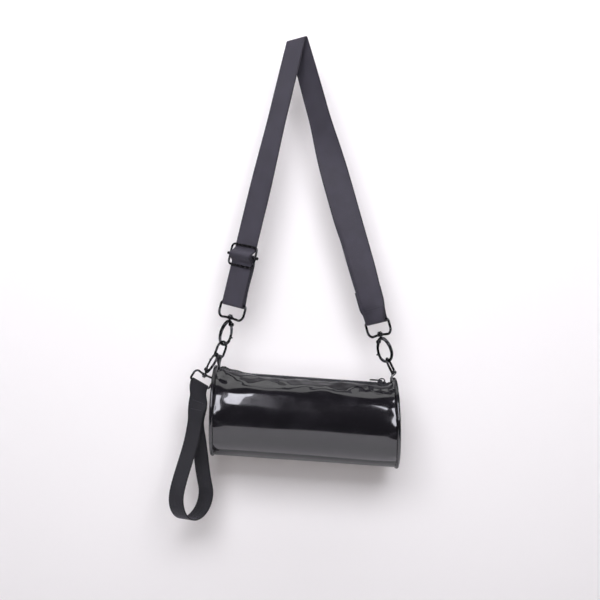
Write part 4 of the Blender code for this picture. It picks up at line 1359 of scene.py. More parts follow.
        crease = self.cloth.make("strap_crease_and_right_leg", self.right_rows())
        dress(crease, finishes.shoulder, stands_for=("shoulder_strap",))
        follow_right_loop(crease)
        path = self.fold_path(LEFT_LEG, back, self.front_height(fold_start))
        fold = dress(self.cloth.make("strap_left_fold", self.rows(LEFT_LEG, path)), finishes.shoulder)
        spot(fold_start)
        spot(LEFT_LEG.length - 2 * GAP)
        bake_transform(fold)

        upper = self.cloth.make("strap_left_leg_upper", self.front_rows(self.hump_top, 0.0))
        dress(upper, finishes.shoulder)
        spot(0.02)
        spot(self.hump_top)
        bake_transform(upper)
        lower = self.cloth.make("strap_left_leg_lower", self.front_rows(fold_start, self.hump_top))
        dress(lower, finishes.shoulder)
        spot(self.place + self.hump_half)
        spot(fold_start)
        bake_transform(lower)
        behind = self.cloth.make("strap_back_layer", self.rows(LEFT_LEG, self.back_path()))
        dress(behind, finishes.shoulder)
        spot(self.tail_end + 0.001)
        spot(fold_start)
        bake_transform(behind)
        for name, line, body in self.seams():
            seam = dress(Thread(0.0022, 0.0006).sew(name, line), finishes.webbing_thread, body)
            if body is None:
                follow_right_loop(seam)


@dataclass
class Adjuster:
    """Wire frame in front of the webbing, and a centre bar whose eyes slide on the frame's sides."""

    strap: ShoulderStrap
    corner: float = 0.004
    eye_wire: float = 0.0011
    side_room: float = 0.0004
    knob: float = 0.0032

    def build(self, finishes: Finishes) -> None:
        """Draw the frame and the bar.

        Args:
            finishes: the finishes.
        """
        wire, height = self.strap.adjuster_wire, self.strap.adjuster_height
        place = LEFT_LEG.frame_at(self.strap.place, self.strap.frame_height)
        eye = wire / 2 + GAP + self.eye_wire / 2
        half = LEFT_LEG.width / 2 + self.side_room + eye + self.eye_wire / 2
        path = rounded_loop(half, -height / 2, height / 2, self.corner, 8)
        frame_wire = draw_wire("adjuster_wire_frame", path, [wire / 2] * len(path), 16, True)
        smooth(settle(frame_wire, place), 60)
        dress(frame_wire, finishes.metal, "adjuster_wire", ("adjuster_frame",))
        parts = [turned(wire / 2, 2 * (half - eye), (0, 0, 0), Vector((1, 0, 0)), 20)]
        for side in (-1, 1):
            ring = arc((side * half, 0), eye, 0, 360, 28)[:-1]
            loop = draw_wire("eye", ring, [self.eye_wire / 2] * 28, 10, True)
            flat = Matrix.Translation((side * half, 0, 0)) @ Matrix.Rotation(math.pi / 2, 4, "X")
            parts.append(settle(loop, flat @ Matrix.Translation((-side * half, 0, 0))))
            knob_place = side * (half + eye + self.eye_wire / 2)
            parts.append(turned(self.knob / 2, self.eye_wire * 2, (knob_place, 0, 0), Vector((1, 0, 0)), 20))
        bar = settle(join(parts, "adjuster_centre_bar"), place)
        smooth(bar, 50)
        dress(bar, finishes.metal, "adjuster_centre", ("adjuster_bar",))


# ---- swivel clasps


@dataclass(frozen=True)
class Clasp:
    """Sizes of one swivel clasp, along its stem from the middle of the loop's bar."""

    webbing: float
    loop_wire: float
    loop_depth: float
    loop_shoulder: float
    loop_corner: float
    loop_dip: float
    boss_radius: float
    boss_height: float
    stem_radius: float
    head_radius: float
    head_height: float
    hook_width: float
    hook_height: float
    taper: float
    top_wire: float
    low_wire: float
    gate_wire: float
    pivot_radius: float
    pivot_thickness: float
    tongue: float
    nib_length: float
    nib_radius: float
    pivot_angle: float
    nose_angle: float
    overlap: float = math.radians(14)
    slant: float = math.radians(22)

    @property
    def hook_top(self) -> float:
        """Height of the hook's centreline at its top."""
        return -(self.loop_depth + self.boss_height / 2 + MOVING_GAP + self.top_wire / 2)

    @property
    def hook_low(self) -> float:
        """Height of the hook's centreline at its low end."""
        return self.hook_top - self.hook_height

    @property
    def hung(self) -> float:
        """Distance from the bar to the centre of a ring's wire that hangs in the hook."""
        return -self.hook_low - self.low_wire / 2 - GAP - RING_WIRE / 2

    def point(self, angle: float, side: int) -> Point:
        """Point on the hook's centreline; angle 0 is the top, and side is the gate's.

        Args:
            angle: the angle.
            side: the gate's side.

        Returns:
            The point.
        """
        share = (1 - math.cos(angle)) / 2
        lean = 1 - self.taper * math.cos(angle)
        return side * self.hook_width / 2 * math.sin(angle) * lean, self.hook_top - self.hook_height * share

    def wire_at(self, angle: float) -> float:
        """Thickness of the hook's body at an angle round it."""
        return self.low_wire + (self.top_wire - self.low_wire) * (1 + math.cos(angle)) / 2

    def loop(self, name: str) -> Piece:
        """Swivel loop: a bar for the webbing, round sides and a bored boss in the middle of its low side.

        Args:
            name: the object's name.

        Returns:
            The loop in the clasp's frame.
        """
        half = self.webbing / 2 + GAP + self.loop_shoulder
        inner, top = half - self.loop_corner, half - self.loop_shoulder
        low = -self.loop_depth - self.loop_dip
        path = arc((inner, low + self.loop_corner), self.loop_corner, -80, 0, 14)
        path += arc((top, -self.loop_shoulder), self.loop_shoulder, 0, 90, 10)
        path += arc((-top, -self.loop_shoulder), self.loop_shoulder, 90, 180, 10)
        path += arc((-inner, low + self.loop_corner), self.loop_corner, 180, 260, 14)
        path.append((0, -self.loop_depth))
        body = draw_wire(name, path, [self.loop_wire / 2] * len(path), 16, True)
        middle = (0, 0, -self.loop_depth)
        boolean(body, turned(self.boss_radius, self.boss_height, middle, UP, 32), "UNION")
        bore = turned(self.stem_radius + GAP, self.boss_height * 2, middle, UP, 24)
        boolean(body, bore, "DIFFERENCE")
        return body

    def hook(self, name: str, side: int) -> Piece:
        """Hook with its stem, collar head and the two cheeks that hold the gate.

        Args:
            name: the object's name.
            side: side of the gate along X.

        Returns:
            The hook in the clasp's frame.
        """
        start, finish = self.pivot_angle, self.nose_angle - self.overlap - 2 * math.pi
        turns = [start + (finish - start) * step / 60 for step in range(61)]
        path, radii = [self.point(turn, side) for turn in turns], [self.wire_at(turn) / 2 for turn in turns]
        body = draw_wire(name, path, radii, 18)
        pivot, end = self.point(start, side), self.point(self.nose_angle, side)
        hub = (pivot[0], 0, pivot[1])
        boolean(body, turned(self.pivot_radius, self.pivot_thickness, hub, Vector((0, 1, 0)), 32), "UNION")
        head_low = -self.loop_depth + self.boss_height / 2 + GAP
        top = head_low + self.head_height / 2
        stem = turned(self.stem_radius, top - self.hook_top, (0, 0, (top + self.hook_top) / 2), UP, 24)
        boolean(body, stem, "UNION")
        boolean(body, turned(self.head_radius, self.head_height, (0, 0, top), UP, 28), "UNION")
        way = Vector((end[0] - pivot[0], 0, end[1] - pivot[1]))
        slot_half = self.tongue / 2 + GAP
        reach = self.pivot_radius + GAP
        slot = block((-reach, -self.top_wire, -slot_half), (self.top_wire * 2, self.top_wire, slot_half))
        settle(slot, axes(Vector(hub), way, Vector((0, 1, 0))))
        boolean(body, slot, "DIFFERENCE")
        boolean(body, settle(self.parting(True), self.parting_frame(side)), "DIFFERENCE")
        return body

    def parting_frame(self, side: int) -> Matrix:
        """Frame of the slanting faces where the nose and the gate part.

        Args:
            side: the gate's side.

        Returns:
            The frame.
        """
        end = self.point(self.nose_angle, side)
        way = Vector((-side * math.sin(self.slant), 0, math.cos(self.slant)))
        return axes(Vector((end[0], 0, end[1])), Vector((0, 1, 0)), way)

    def parting(self, above: bool) -> Piece:
        """Block that cuts the nose (above) or the gate (below) back to their parting faces.

        Args:
            above: whether it cuts the nose.

        Returns:
            The block.
        """
        reach, half = self.top_wire, MOVING_GAP / 2
        if above:
            return block((-reach, -reach, -half), (reach, reach, 2 * reach))
        return block((-reach, -reach, -2 * reach), (reach, reach, half))

    def gate(self, name: str, side: int) -> Piece:
        """Gate with its tongue between the cheeks, its thumb nib and its slanting end.

        Args:
            name: the object's name.
            side: its side along X.

        Returns:
            The gate in the clasp's frame.
        """
        pivot = self.point(self.pivot_angle, side)
        begin = self.pivot_angle + (self.pivot_radius + GAP + self.gate_wire / 2) / (self.hook_height / 2)
        last = self.nose_angle + self.overlap
        turns = [begin + (last - begin) * step / 21 for step in range(22)]
        path = [self.point(turn, side) for turn in turns]
        body = draw_wire(name, path, [self.gate_wire / 2] * 22, 16)
        boolean(body, settle(self.parting(False), self.parting_frame(side)), "DIFFERENCE")
        hub = Vector((pivot[0], 0, pivot[1]))
        radius = self.pivot_radius - GAP
        boolean(body, turned(radius, self.tongue, hub, Vector((0, 1, 0)), 28), "UNION")
        first = Vector((path[3][0], 0, path[3][1])) - hub
        half = self.tongue / 2
        plate = block((0, -radius * 0.7, -half * 0.96), (first.length, radius * 0.7, half * 0.96))
        boolean(body, settle(plate, axes(hub, first, Vector((0, 1, 0)))), "UNION")
        nib_at = path[-10]
        nib = turned(self.nib_radius, self.nib_length * 2, (nib_at[0] + side * self.nib_radius, 0, nib_at[1]),
                     Vector((side, 0, -0.25)), 16)
        boolean(body, nib, "UNION")
        return body


SHOULDER_CLASP = Clasp(
    webbing=0.030, loop_wire=0.0026, loop_depth=0.0149, loop_shoulder=0.0026, loop_corner=0.0068, loop_dip=0.0012,
    boss_radius=0.0029, boss_height=0.004, stem_radius=0.0012, head_radius=0.0021, head_height=0.001,
    hook_width=0.0148, hook_height=0.0255, taper=0.16, top_wire=0.0038, low_wire=0.003, gate_wire=0.0026,
    pivot_radius=0.0022, pivot_thickness=0.0044, tongue=0.0014, nib_length=0.002,
    nib_radius=0.0008, pivot_angle=math.radians(38), nose_angle=math.radians(126),
)
WRIST_CLASP = Clasp(
    webbing=0.020, loop_wire=0.0022, loop_depth=0.0105, loop_shoulder=0.0018, loop_corner=0.0046, loop_dip=0.001,
    boss_radius=0.0026, boss_height=0.0034, stem_radius=0.001, head_radius=0.0018, head_height=0.0009,
    hook_width=0.0096, hook_height=0.0225, taper=0.12, top_wire=0.0028, low_wire=0.0024, gate_wire=0.0021,
    pivot_radius=0.0019, pivot_thickness=0.0038, tongue=0.0012, nib_length=0.0016,
    nib_radius=0.0007, pivot_angle=math.radians(38), nose_angle=math.radians(122),
)


@dataclass
class HungClasp:
    """One clasp in its place, its word as in the bodies' names."""

    word: str
    sizes: Clasp
    loop_frame: Matrix
    hook_frame: Matrix
    gate_side: int

    def build(self, finishes: Finishes) -> None:
        """Model the loop, the hook and the gate, and polish the gate pin.

        Args:
            finishes: the finishes.
        """
        word = self.word
        loop = settle(self.sizes.loop(f"{word}_loop_wire"), self.loop_frame)
        hook = settle(self.sizes.hook(f"{word}_hook_body", self.gate_side), self.hook_frame)
        gate = settle(self.sizes.gate(f"{word}_gate_bar", self.gate_side), self.hook_frame)
        rows = ((loop, "loop", "swivel_loop"), (hook, "clasp", "clasp_hook"), (gate, "gate", "clasp_gate"))
        for piece, body, node in rows:
            smooth(piece, 42)
            dress(piece, finishes.metal, f"{word}_{body}", (f"{word}_{node}",))
        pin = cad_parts[f"{word}_gate_pin"]
        pin.data.materials.clear()
        pin.data.materials.append(finishes.metal)


def chain_frame(leg: Leg, lean: float, side: int) -> Matrix:
    """Frame of a shoulder clasp: origin at its loop's bar, X along the bar, Z up the stem.

    Args:
        leg: the leg.
        lean: lean of the stem.
        side: the leg's side.

    Returns:
        The frame.
    """
    bar = leg.width_at(leg.length)
    stem = Vector((-side * math.sin(lean), 0, math.cos(lean)))
    return axes(leg.down * leg.length, bar, stem - stem.dot(bar) * bar)


def ring_frame(clasp_frame: Matrix, lean: float, turn: float, side: int) -> Matrix:
    """Frame of a ring: origin in the middle of its bar, X along the bar, Z up to the hook.

    Args:
        clasp_frame: the clasp's frame.
        lean: its lean.
        turn: its bar's turn.
        side: its side.

    Returns:
        The frame.
    """
    up = Vector((-side * math.sin(lean), 0, math.cos(lean)))
    top = clasp_frame @ Vector((0, 0, -SHOULDER_CLASP.hung))
    return axes(top - up * RING_HEIGHT, plan(-turn), up)


@dataclass
class EndRing:
    """Wire ring with a straight bar at the bottom and a round top."""

    word: str
    place: Matrix
    width: float = 0.015
    corner: float = 0.003

    def build(self, finishes: Finishes) -> None:
        """Bend the ring.

        Args:
            finishes: the finishes.
        """
        half = self.width / 2
        path = arc((half - self.corner, self.corner), self.corner, -90, 0, 8)
        path += arc((0, RING_HEIGHT - half), half, 0, 180, 32)
        path += arc((-half + self.corner, self.corner), self.corner, 180, 270, 8)
        ring = settle(draw_wire(f"{self.word}_end_ring", path, [RING_WIRE / 2] * len(path), 16, True), self.place)
        smooth(ring, 60)
        dress(ring, finishes.metal, f"{self.word}_ring", (f"ring_{self.word}",))


# ---- bag


@dataclass
class BarrelShape:
    """The bag's outer form, in its own frame: X along the barrel, angle 0 at the top, positive to the back."""

    length: float = 0.1936
    diameter: float = 0.0935
    left_lean: float = math.radians(2.1)
    right_lean: float = math.radians(4.9)
    sag: float = 0.0041
    left_rise: float = 0.016
    right_rise: float = 0.0095
    piping: float = 0.0038
    mouth: float = 0.012
    mouth_drop: float = 0.0027
    mouth_reach: float = 0.012
    pinch: float = 0.0020
    pinch_reach: float = 0.0055
    right_pinch_reach: float = 0.0078
    shoulder: float = 0.016
    ridge: float = 0.0036
    ridge_reach: float = 0.03
    ridge_shares: Table = ((-0.5, 0.3), (-0.455, 1.0), (-0.41, 0.85), (-0.33, 0.3), (-0.24, 0.0))
    place: Matrix = Matrix.Translation((0.0083, 0, -0.4023)) @ Matrix.Rotation(math.radians(4.0), 4, "Y")

    @property
    def radius(self) -> float:
        """Radius of the barrel."""
        return self.diameter / 2

    @property
    def mouth_angle(self) -> float:
        """Angle of the mouth's edge."""
        return math.asin(self.mouth / 2 / self.radius)

    @property
    def seam_inset(self) -> float:
        """Distance of the panel's edge from the end's plane."""
        return self.piping / 2 + GAP

    def end(self, side: int, height: float) -> float:
        """X of an end's plane at this height above the bag's axis; the planes lean."""
        lean = self.left_lean if side < 0 else self.right_lean
        return side * self.length / 2 - height * math.tan(lean)

    def skin(self, x: float, angle: float, depth: float) -> Vector:
        """Point of the bag's skin at a depth inwards.

        Args:
            x: place along the barrel.
            angle: angle round it.
            depth: depth inwards.

        Returns:
            The point.
        """
        radius = self.radius - depth
        height = radius * math.cos(angle)
        from_left = (x - self.end(-1, self.radius)) / self.left_rise
        from_right = (self.end(1, self.radius) - x) / self.right_rise
        sag = self.sag * smoothstep(min(from_left, from_right))
        height -= sag * (max(height, 0) / self.radius) ** 2
        return Vector((x, radius * math.sin(angle), height))

    def reach_in(self, x: float, angle: float) -> float:
        """Distance from the nearer end's plane."""
        height = self.radius * math.cos(angle)
        return min(x - self.end(-1, height), self.end(1, height) - x)

    def aside(self, angle: float) -> float:
        """Distance along the skin from the mouth's edge."""
        return (min(angle, 2 * math.pi - angle) - self.mouth_angle) * self.radius

    def drawn_in(self, x: float, angle: float) -> float:
        """Depth that the seams of the ends and of the mouth draw the skin in by, less the ridge at the left.

        Args:
            x: place along the barrel.
            angle: angle round it.

        Returns:
            The depth.
        """
        aside = self.aside(angle)
        reach = self.pinch_reach if x < 0 else self.right_pinch_reach
        pinch = self.pinch * math.exp(-max(self.reach_in(x, angle) - self.seam_inset, 0) / reach)
        pinch *= smoothstep(aside / self.shoulder) * (1 - 0.9 * smoothstep(0.4 - math.cos(angle)))
        raised = between(self.ridge_shares, x / self.length)
        fold = self.mouth_drop * (1 - smoothstep(aside / self.mouth_reach)) * (1 - raised)
        return pinch + fold - self.ridge * raised * (1 - smoothstep(aside / self.ridge_reach))


SHAPE = BarrelShape()


@dataclass
class BagBody:
    """Body panel rolled into a barrel, its end panels, piping and bound seams."""

    length_steps: int = 232
    round_steps: int = 200
    gather: float = 0.0006
    pucker: float = 0.0007
    swell: float = 0.0006
    slack: float = 0.0003
    binding_width: float = 0.006
    binding: float = 0.0005
    binding_room: float = 0.0004
    tape: float = 0.0006
    tape_reach: float = 0.0032 + 0.0095
    stitch_inset: float = 0.0026
    stitch_start: float = 0.003
    piping_swell: float = 0.05
    piping_wrinkle: float = 0.02
    piping_pull: float = 0.03

    def relief(self, x: float, angle: float) -> float:
        """Height of the vinyl's surface over the plain barrel, in metres.

        Args:
            x: place along the barrel.
            angle: angle round it.

        Returns:
            The height.
        """
        aside, near = SHAPE.aside(angle), SHAPE.reach_in(x, angle)
        edge = smoothstep(near / 0.004)
        wave = -SHAPE.drawn_in(x, angle)
        gather = crumple(angle * SHAPE.radius / 0.007, near / 0.02, 1.3) * self.gather
        wave += gather * math.exp(-near / 0.008) * edge
        seed = 5.1 if angle > math.pi else 9.4
        pucker = crumple(x / 0.014 + aside / 0.022, aside / 0.010, seed)
        pucker += 0.45 * crumple(x / 0.0065, aside / 0.008, seed + 2)
        pucker -= 0.9 * abs(crumple(x / 0.019 - aside / 0.03, aside / 0.014, seed + 8))
        wave += pucker * self.pucker * smoothstep(aside / 0.004) * (1 - smoothstep((aside - 0.012) / 0.024)) * edge
        swell = crumple(x / 0.03 - aside / 0.04, aside / 0.018, seed + 4)
        wave += swell * self.swell * smoothstep(aside / 0.006) * (1 - smoothstep((aside - 0.026) / 0.03)) * edge
        return wave + crumple(x / 0.05, angle / 0.7, seed + 6) * self.slack * smoothstep(near / 0.012)

    def panel(self) -> Piece:
        """The body panel.

        Returns:
            The panel.
        """
        start, end = SHAPE.mouth_angle, 2 * math.pi - SHAPE.mouth_angle
        rows, flat = [], []
        for step in range(self.length_steps + 1):
            share = step / self.length_steps
            share = 0.65 * share + 0.35 * (1 - math.cos(math.pi * share)) / 2
            row, places = [], []
            for turn in range(self.round_steps + 1):
                part = turn / self.round_steps
                part = 0.6 * part + 0.4 * (1 - math.cos(math.pi * part)) / 2
                angle = start + (end - start) * part
                height = SHAPE.radius * math.cos(angle)
                left = SHAPE.end(-1, height) + SHAPE.seam_inset
                right = SHAPE.end(1, height) - SHAPE.seam_inset
                x = left + (right - left) * share
                row.append(SHAPE.skin(x, angle, -self.relief(x, angle)))
                places.append((x, angle * SHAPE.radius))
            rows.append(row)
            flat.append(places)
        return cloth_sheet("barrel_panel", rows, flat, VINYL * 0.8, 1.0)

    def round_end(self, side: int, word: str) -> Piece:
        """One end panel, which puckers at its seam.

        Args:
            side: -1 left, 1 right.
            word: its word in names.

        Returns:
            The end panel.
        """
        lean = math.tan(SHAPE.left_lean if side < 0 else SHAPE.right_lean)
        rings, parts = 40, 128

        def spot(share: float, angle: float) -> Vector:
            """Point of the panel at a share of its radius and an angle round it.

            Args:
                share: share of the radius.
                angle: angle.

            Returns:
                The point.
            """
            y, z = self.rim * share * math.sin(angle), self.rim * share * math.cos(angle)
            dome = 0.0006 * (1 - share**4) + crumple(y / 0.03, z / 0.03, 2.2 + side) * 0.0004 * (1 - share**3)
            turned_to = Vector((math.sin(angle), math.cos(angle), 0)) * 4
            dome += noise.noise(turned_to + Vector((0, 0, 6.2 + side))) * 0.0005 * share**10
            return Vector((side * (SHAPE.length / 2 + dome - 0.0004) - z * lean, y, z))

        points = [spot(0, 0)]
        for ring in range(1, rings + 1):
            share = math.sin(math.pi / 2 * ring / rings)
            points += [spot(share, 2 * math.pi * part / parts) for part in range(parts)]
        faces = [(0, 1 + part, 1 + (part + 1) % parts) for part in range(parts)]
        for ring in range(rings - 1):
            low, high = 1 + ring * parts, 1 + (ring + 1) * parts
            faces += [
                (low + part, high + part, high + (part + 1) % parts, low + (part + 1) % parts) for part in range(parts)
            ]
        made = mesh_object(f"{word}_end_panel", points, faces)
        lay_uv(made, [(point.y, point.z) for point in points])
        return thicken(made, VINYL * 0.8, 0.0)

    def piping(self, side: int, word: str) -> Piece:
        """Vinyl-covered cord round an end, drawn in by its seam.

        Args:
            side: -1 left, 1 right.
            word: its word in names.

        Returns:
            The piping.
        """
        lean = math.tan(SHAPE.left_lean if side < 0 else SHAPE.right_lean)
        deselect()
        bpy.ops.mesh.primitive_torus_add(
            major_segments=360,
            minor_segments=18,
            major_radius=SHAPE.radius - VINYL * 0.2,
            minor_radius=SHAPE.piping / 2,
            rotation=(0, math.pi / 2, 0),
        )
        made = bpy.context.object
        made.name = f"{word}_piping"
        bpy.ops.object.transform_apply(location=True, rotation=True, scale=True)
        ring = SHAPE.radius - VINYL * 0.2
        for vertex in made.data.vertices:
            co = vertex.co
            angle = math.atan2(co.y, co.z)
            middle = Vector((0, ring * math.sin(angle), ring * math.cos(angle)))
            swell = 1 + self.piping_swell * crumple(angle * 9, co.x / 0.002, 4.4 + side)
            swell += self.piping_wrinkle * crumple(angle * 31, 0.0, 8.8)
            vertex.co = middle + (co - middle) * (swell - self.piping_pull)
        made.data.transform(Matrix(((1, 0, -lean, side * SHAPE.length / 2), (0, 1, 0, 0), (0, 0, 1, 0), (0, 0, 0, 1))))
        smooth(made, 180)
        return made

    def bound_seam(self, side: int, word: str) -> Piece:
        """Cloth binding of the seam inside an end.

        Args:
            side: -1 left, 1 right.
            word: its word in names.

        Returns:
            The binding.
        """
        rows, flat = [], []
        base = VINYL + GAP + self.binding / 2
        for part in range(5):
            inset = SHAPE.seam_inset + self.binding_width * part / 4
            row, places = [], []
            for step in range(161):
                angle = SHAPE.mouth_angle + (2 * math.pi - 2 * SHAPE.mouth_angle) * step / 160
                aside = min(angle, 2 * math.pi - angle) * SHAPE.radius
                near_top = smoothstep(2 - aside / self.tape_reach)
                x = SHAPE.end(side, SHAPE.radius * math.cos(angle)) - side * inset
                depth = base + self.binding_room + (self.tape + self.binding_room) * near_top + SHAPE.drawn_in(x, angle)
                row.append(SHAPE.skin(x, angle, depth))
                places.append((inset, angle * SHAPE.radius))
            rows.append(row)
            flat.append(places)
        return cloth_sheet(f"{word}_bound_seam", rows, flat, self.binding, 0.0)

    def topstitch(self, sign: int) -> list[tuple[Vector, Vector]]:
        """Seam line along one edge of the mouth.

        Args:
            sign: -1 for the front edge, 1 for the back one.

        Returns:
            Points and normals.
        """
        angle = SHAPE.mouth_angle + self.stitch_inset / SHAPE.radius
        angle = angle if sign > 0 else 2 * math.pi - angle
        left = SHAPE.end(-1, SHAPE.radius) + SHAPE.seam_inset + self.stitch_start
        right = SHAPE.end(1, SHAPE.radius) - SHAPE.seam_inset - self.stitch_start
        line = []
        for step in range(161):
            x = left + (right - left) * step / 160
            spot = SHAPE.skin(x, angle, -self.relief(x, angle))
            line.append((spot, Vector((0, math.sin(angle), math.cos(angle)))))
        return line

    @property
    def rim(self) -> float:
        """Radius of an end panel inside its piping."""
        return SHAPE.radius - VINYL * 0.2 - SHAPE.piping / 2 - GAP

    def build(self, finishes: Finishes) -> None:
        """Sew the body.

        Args:
            finishes: the finishes.
        """
        panel = dress(settle(self.panel(), SHAPE.place), finishes.vinyl, "bag", ("body_panel",))
        for word, side in (("left", -1), ("right", 1)):
            cap = self.round_end(side, word)
            rows = (
                (cap, f"end_panel_{word}", finishes.vinyl, Slot.VINYL),
                (self.piping(side, word), f"piping_{word}", finishes.vinyl, Slot.VINYL),
                (self.bound_seam(side, word), f"seam_binding_{word}", finishes.tape, Slot.CLOTH),
            )
            for piece, node, paint, slot in rows:
                dress(settle(piece, SHAPE.place), paint, "bag", (node,))
        for word, sign in (("front", -1), ("back", 1)):
            line = Thread().sew(f"mouth_stitches_{word}", self.topstitch(sign))
            dress(settle(line, SHAPE.place), finishes.vinyl_thread, "bag")


@dataclass
class SideTab:
    """Vinyl strip that stands in the end seam, goes round the ring's bar and back."""

    word: str
    side: int
    ring: Matrix
    width: float = 0.0065
    offset: float = 0.001
    neck: float = 0.0032
    root_depth: float = 0.0045
    wrap_start: float = math.radians(-30)
    wrap_sweep: float = math.radians(240)

    def build(self, finishes: Finishes) -> None:
        """Fold the strip.

        Args:
            finishes: the finishes.
        """
        local = SHAPE.place.inverted() @ self.ring
        bar = local.translation
        bar_way = local.to_3x3() @ Vector((1, 0, 0))
        layer = (VINYL + GAP) / 2
        inset = SHAPE.seam_inset + VINYL / 2 + layer
        low, high = SHAPE.radius - self.root_depth, SHAPE.radius + GAP
        root = Vector((SHAPE.end(self.side, low) - self.side * inset, 0, low))
        rim = Vector((SHAPE.end(self.side, high) - self.side * inset, 0, high))
        neck = bar - (bar - rim).normalized() * self.neck
        flat_way = Vector((0, 1, 0))
        spine = [(root, 0.0), (rim, 0.0), ((rim + neck) / 2, 0.5), (neck, 1.0)]
        ways = [rim - root, neck - root, bar - rim, bar - rim]
        first, second = [], []
        for (place, share), way in zip(spine, ways):
            along = way.normalized()
            across = flat_way.lerp(bar_way, share)
            across = (across - across.dot(along) * along).normalized()
            normal = along.cross(across).normalized()
            centre = place + across * self.offset * share
            first.append(Row(centre + normal * layer, across))
            second.append(Row(centre - normal * layer, across))
        towards = bar - rim
        towards = (towards - towards.dot(bar_way) * bar_way).normalized()
        normal = towards.cross(bar_way).normalized()
        wrap_radius = RING_WIRE / 2 + GAP + VINYL / 2
        centre = bar + bar_way * self.offset
        wrap = []
        for step in range(17):
            turn = self.wrap_start + self.wrap_sweep * step / 16
            middle = centre + wrap_radius * (normal * math.cos(turn) + towards * math.sin(turn))
            wrap.append(Row(middle, bar_way))
        rows = self.eased(first) + wrap + self.eased(second[::-1])
        strip = StrapCloth(self.width, VINYL * 0.96, 0.0, 8).make(f"{self.word}_vinyl_tab", rows)
        dress(settle(strip, SHAPE.place), finishes.vinyl, "bag", (f"side_tab_{self.word}",))

    @staticmethod
    def eased(rows: list[Row]) -> list[Row]:
        """The same rows with three more between each two.

        Args:
            rows: the rows.

        Returns:
            The new rows.
        """
        made = []
        for last, this in zip(rows, rows[1:]):
            made += [
                Row(last.middle.lerp(this.middle, part / 4), last.across.lerp(this.across, part / 4).normalized())
                for part in range(4)
            ]
        return made + [rows[-1]]


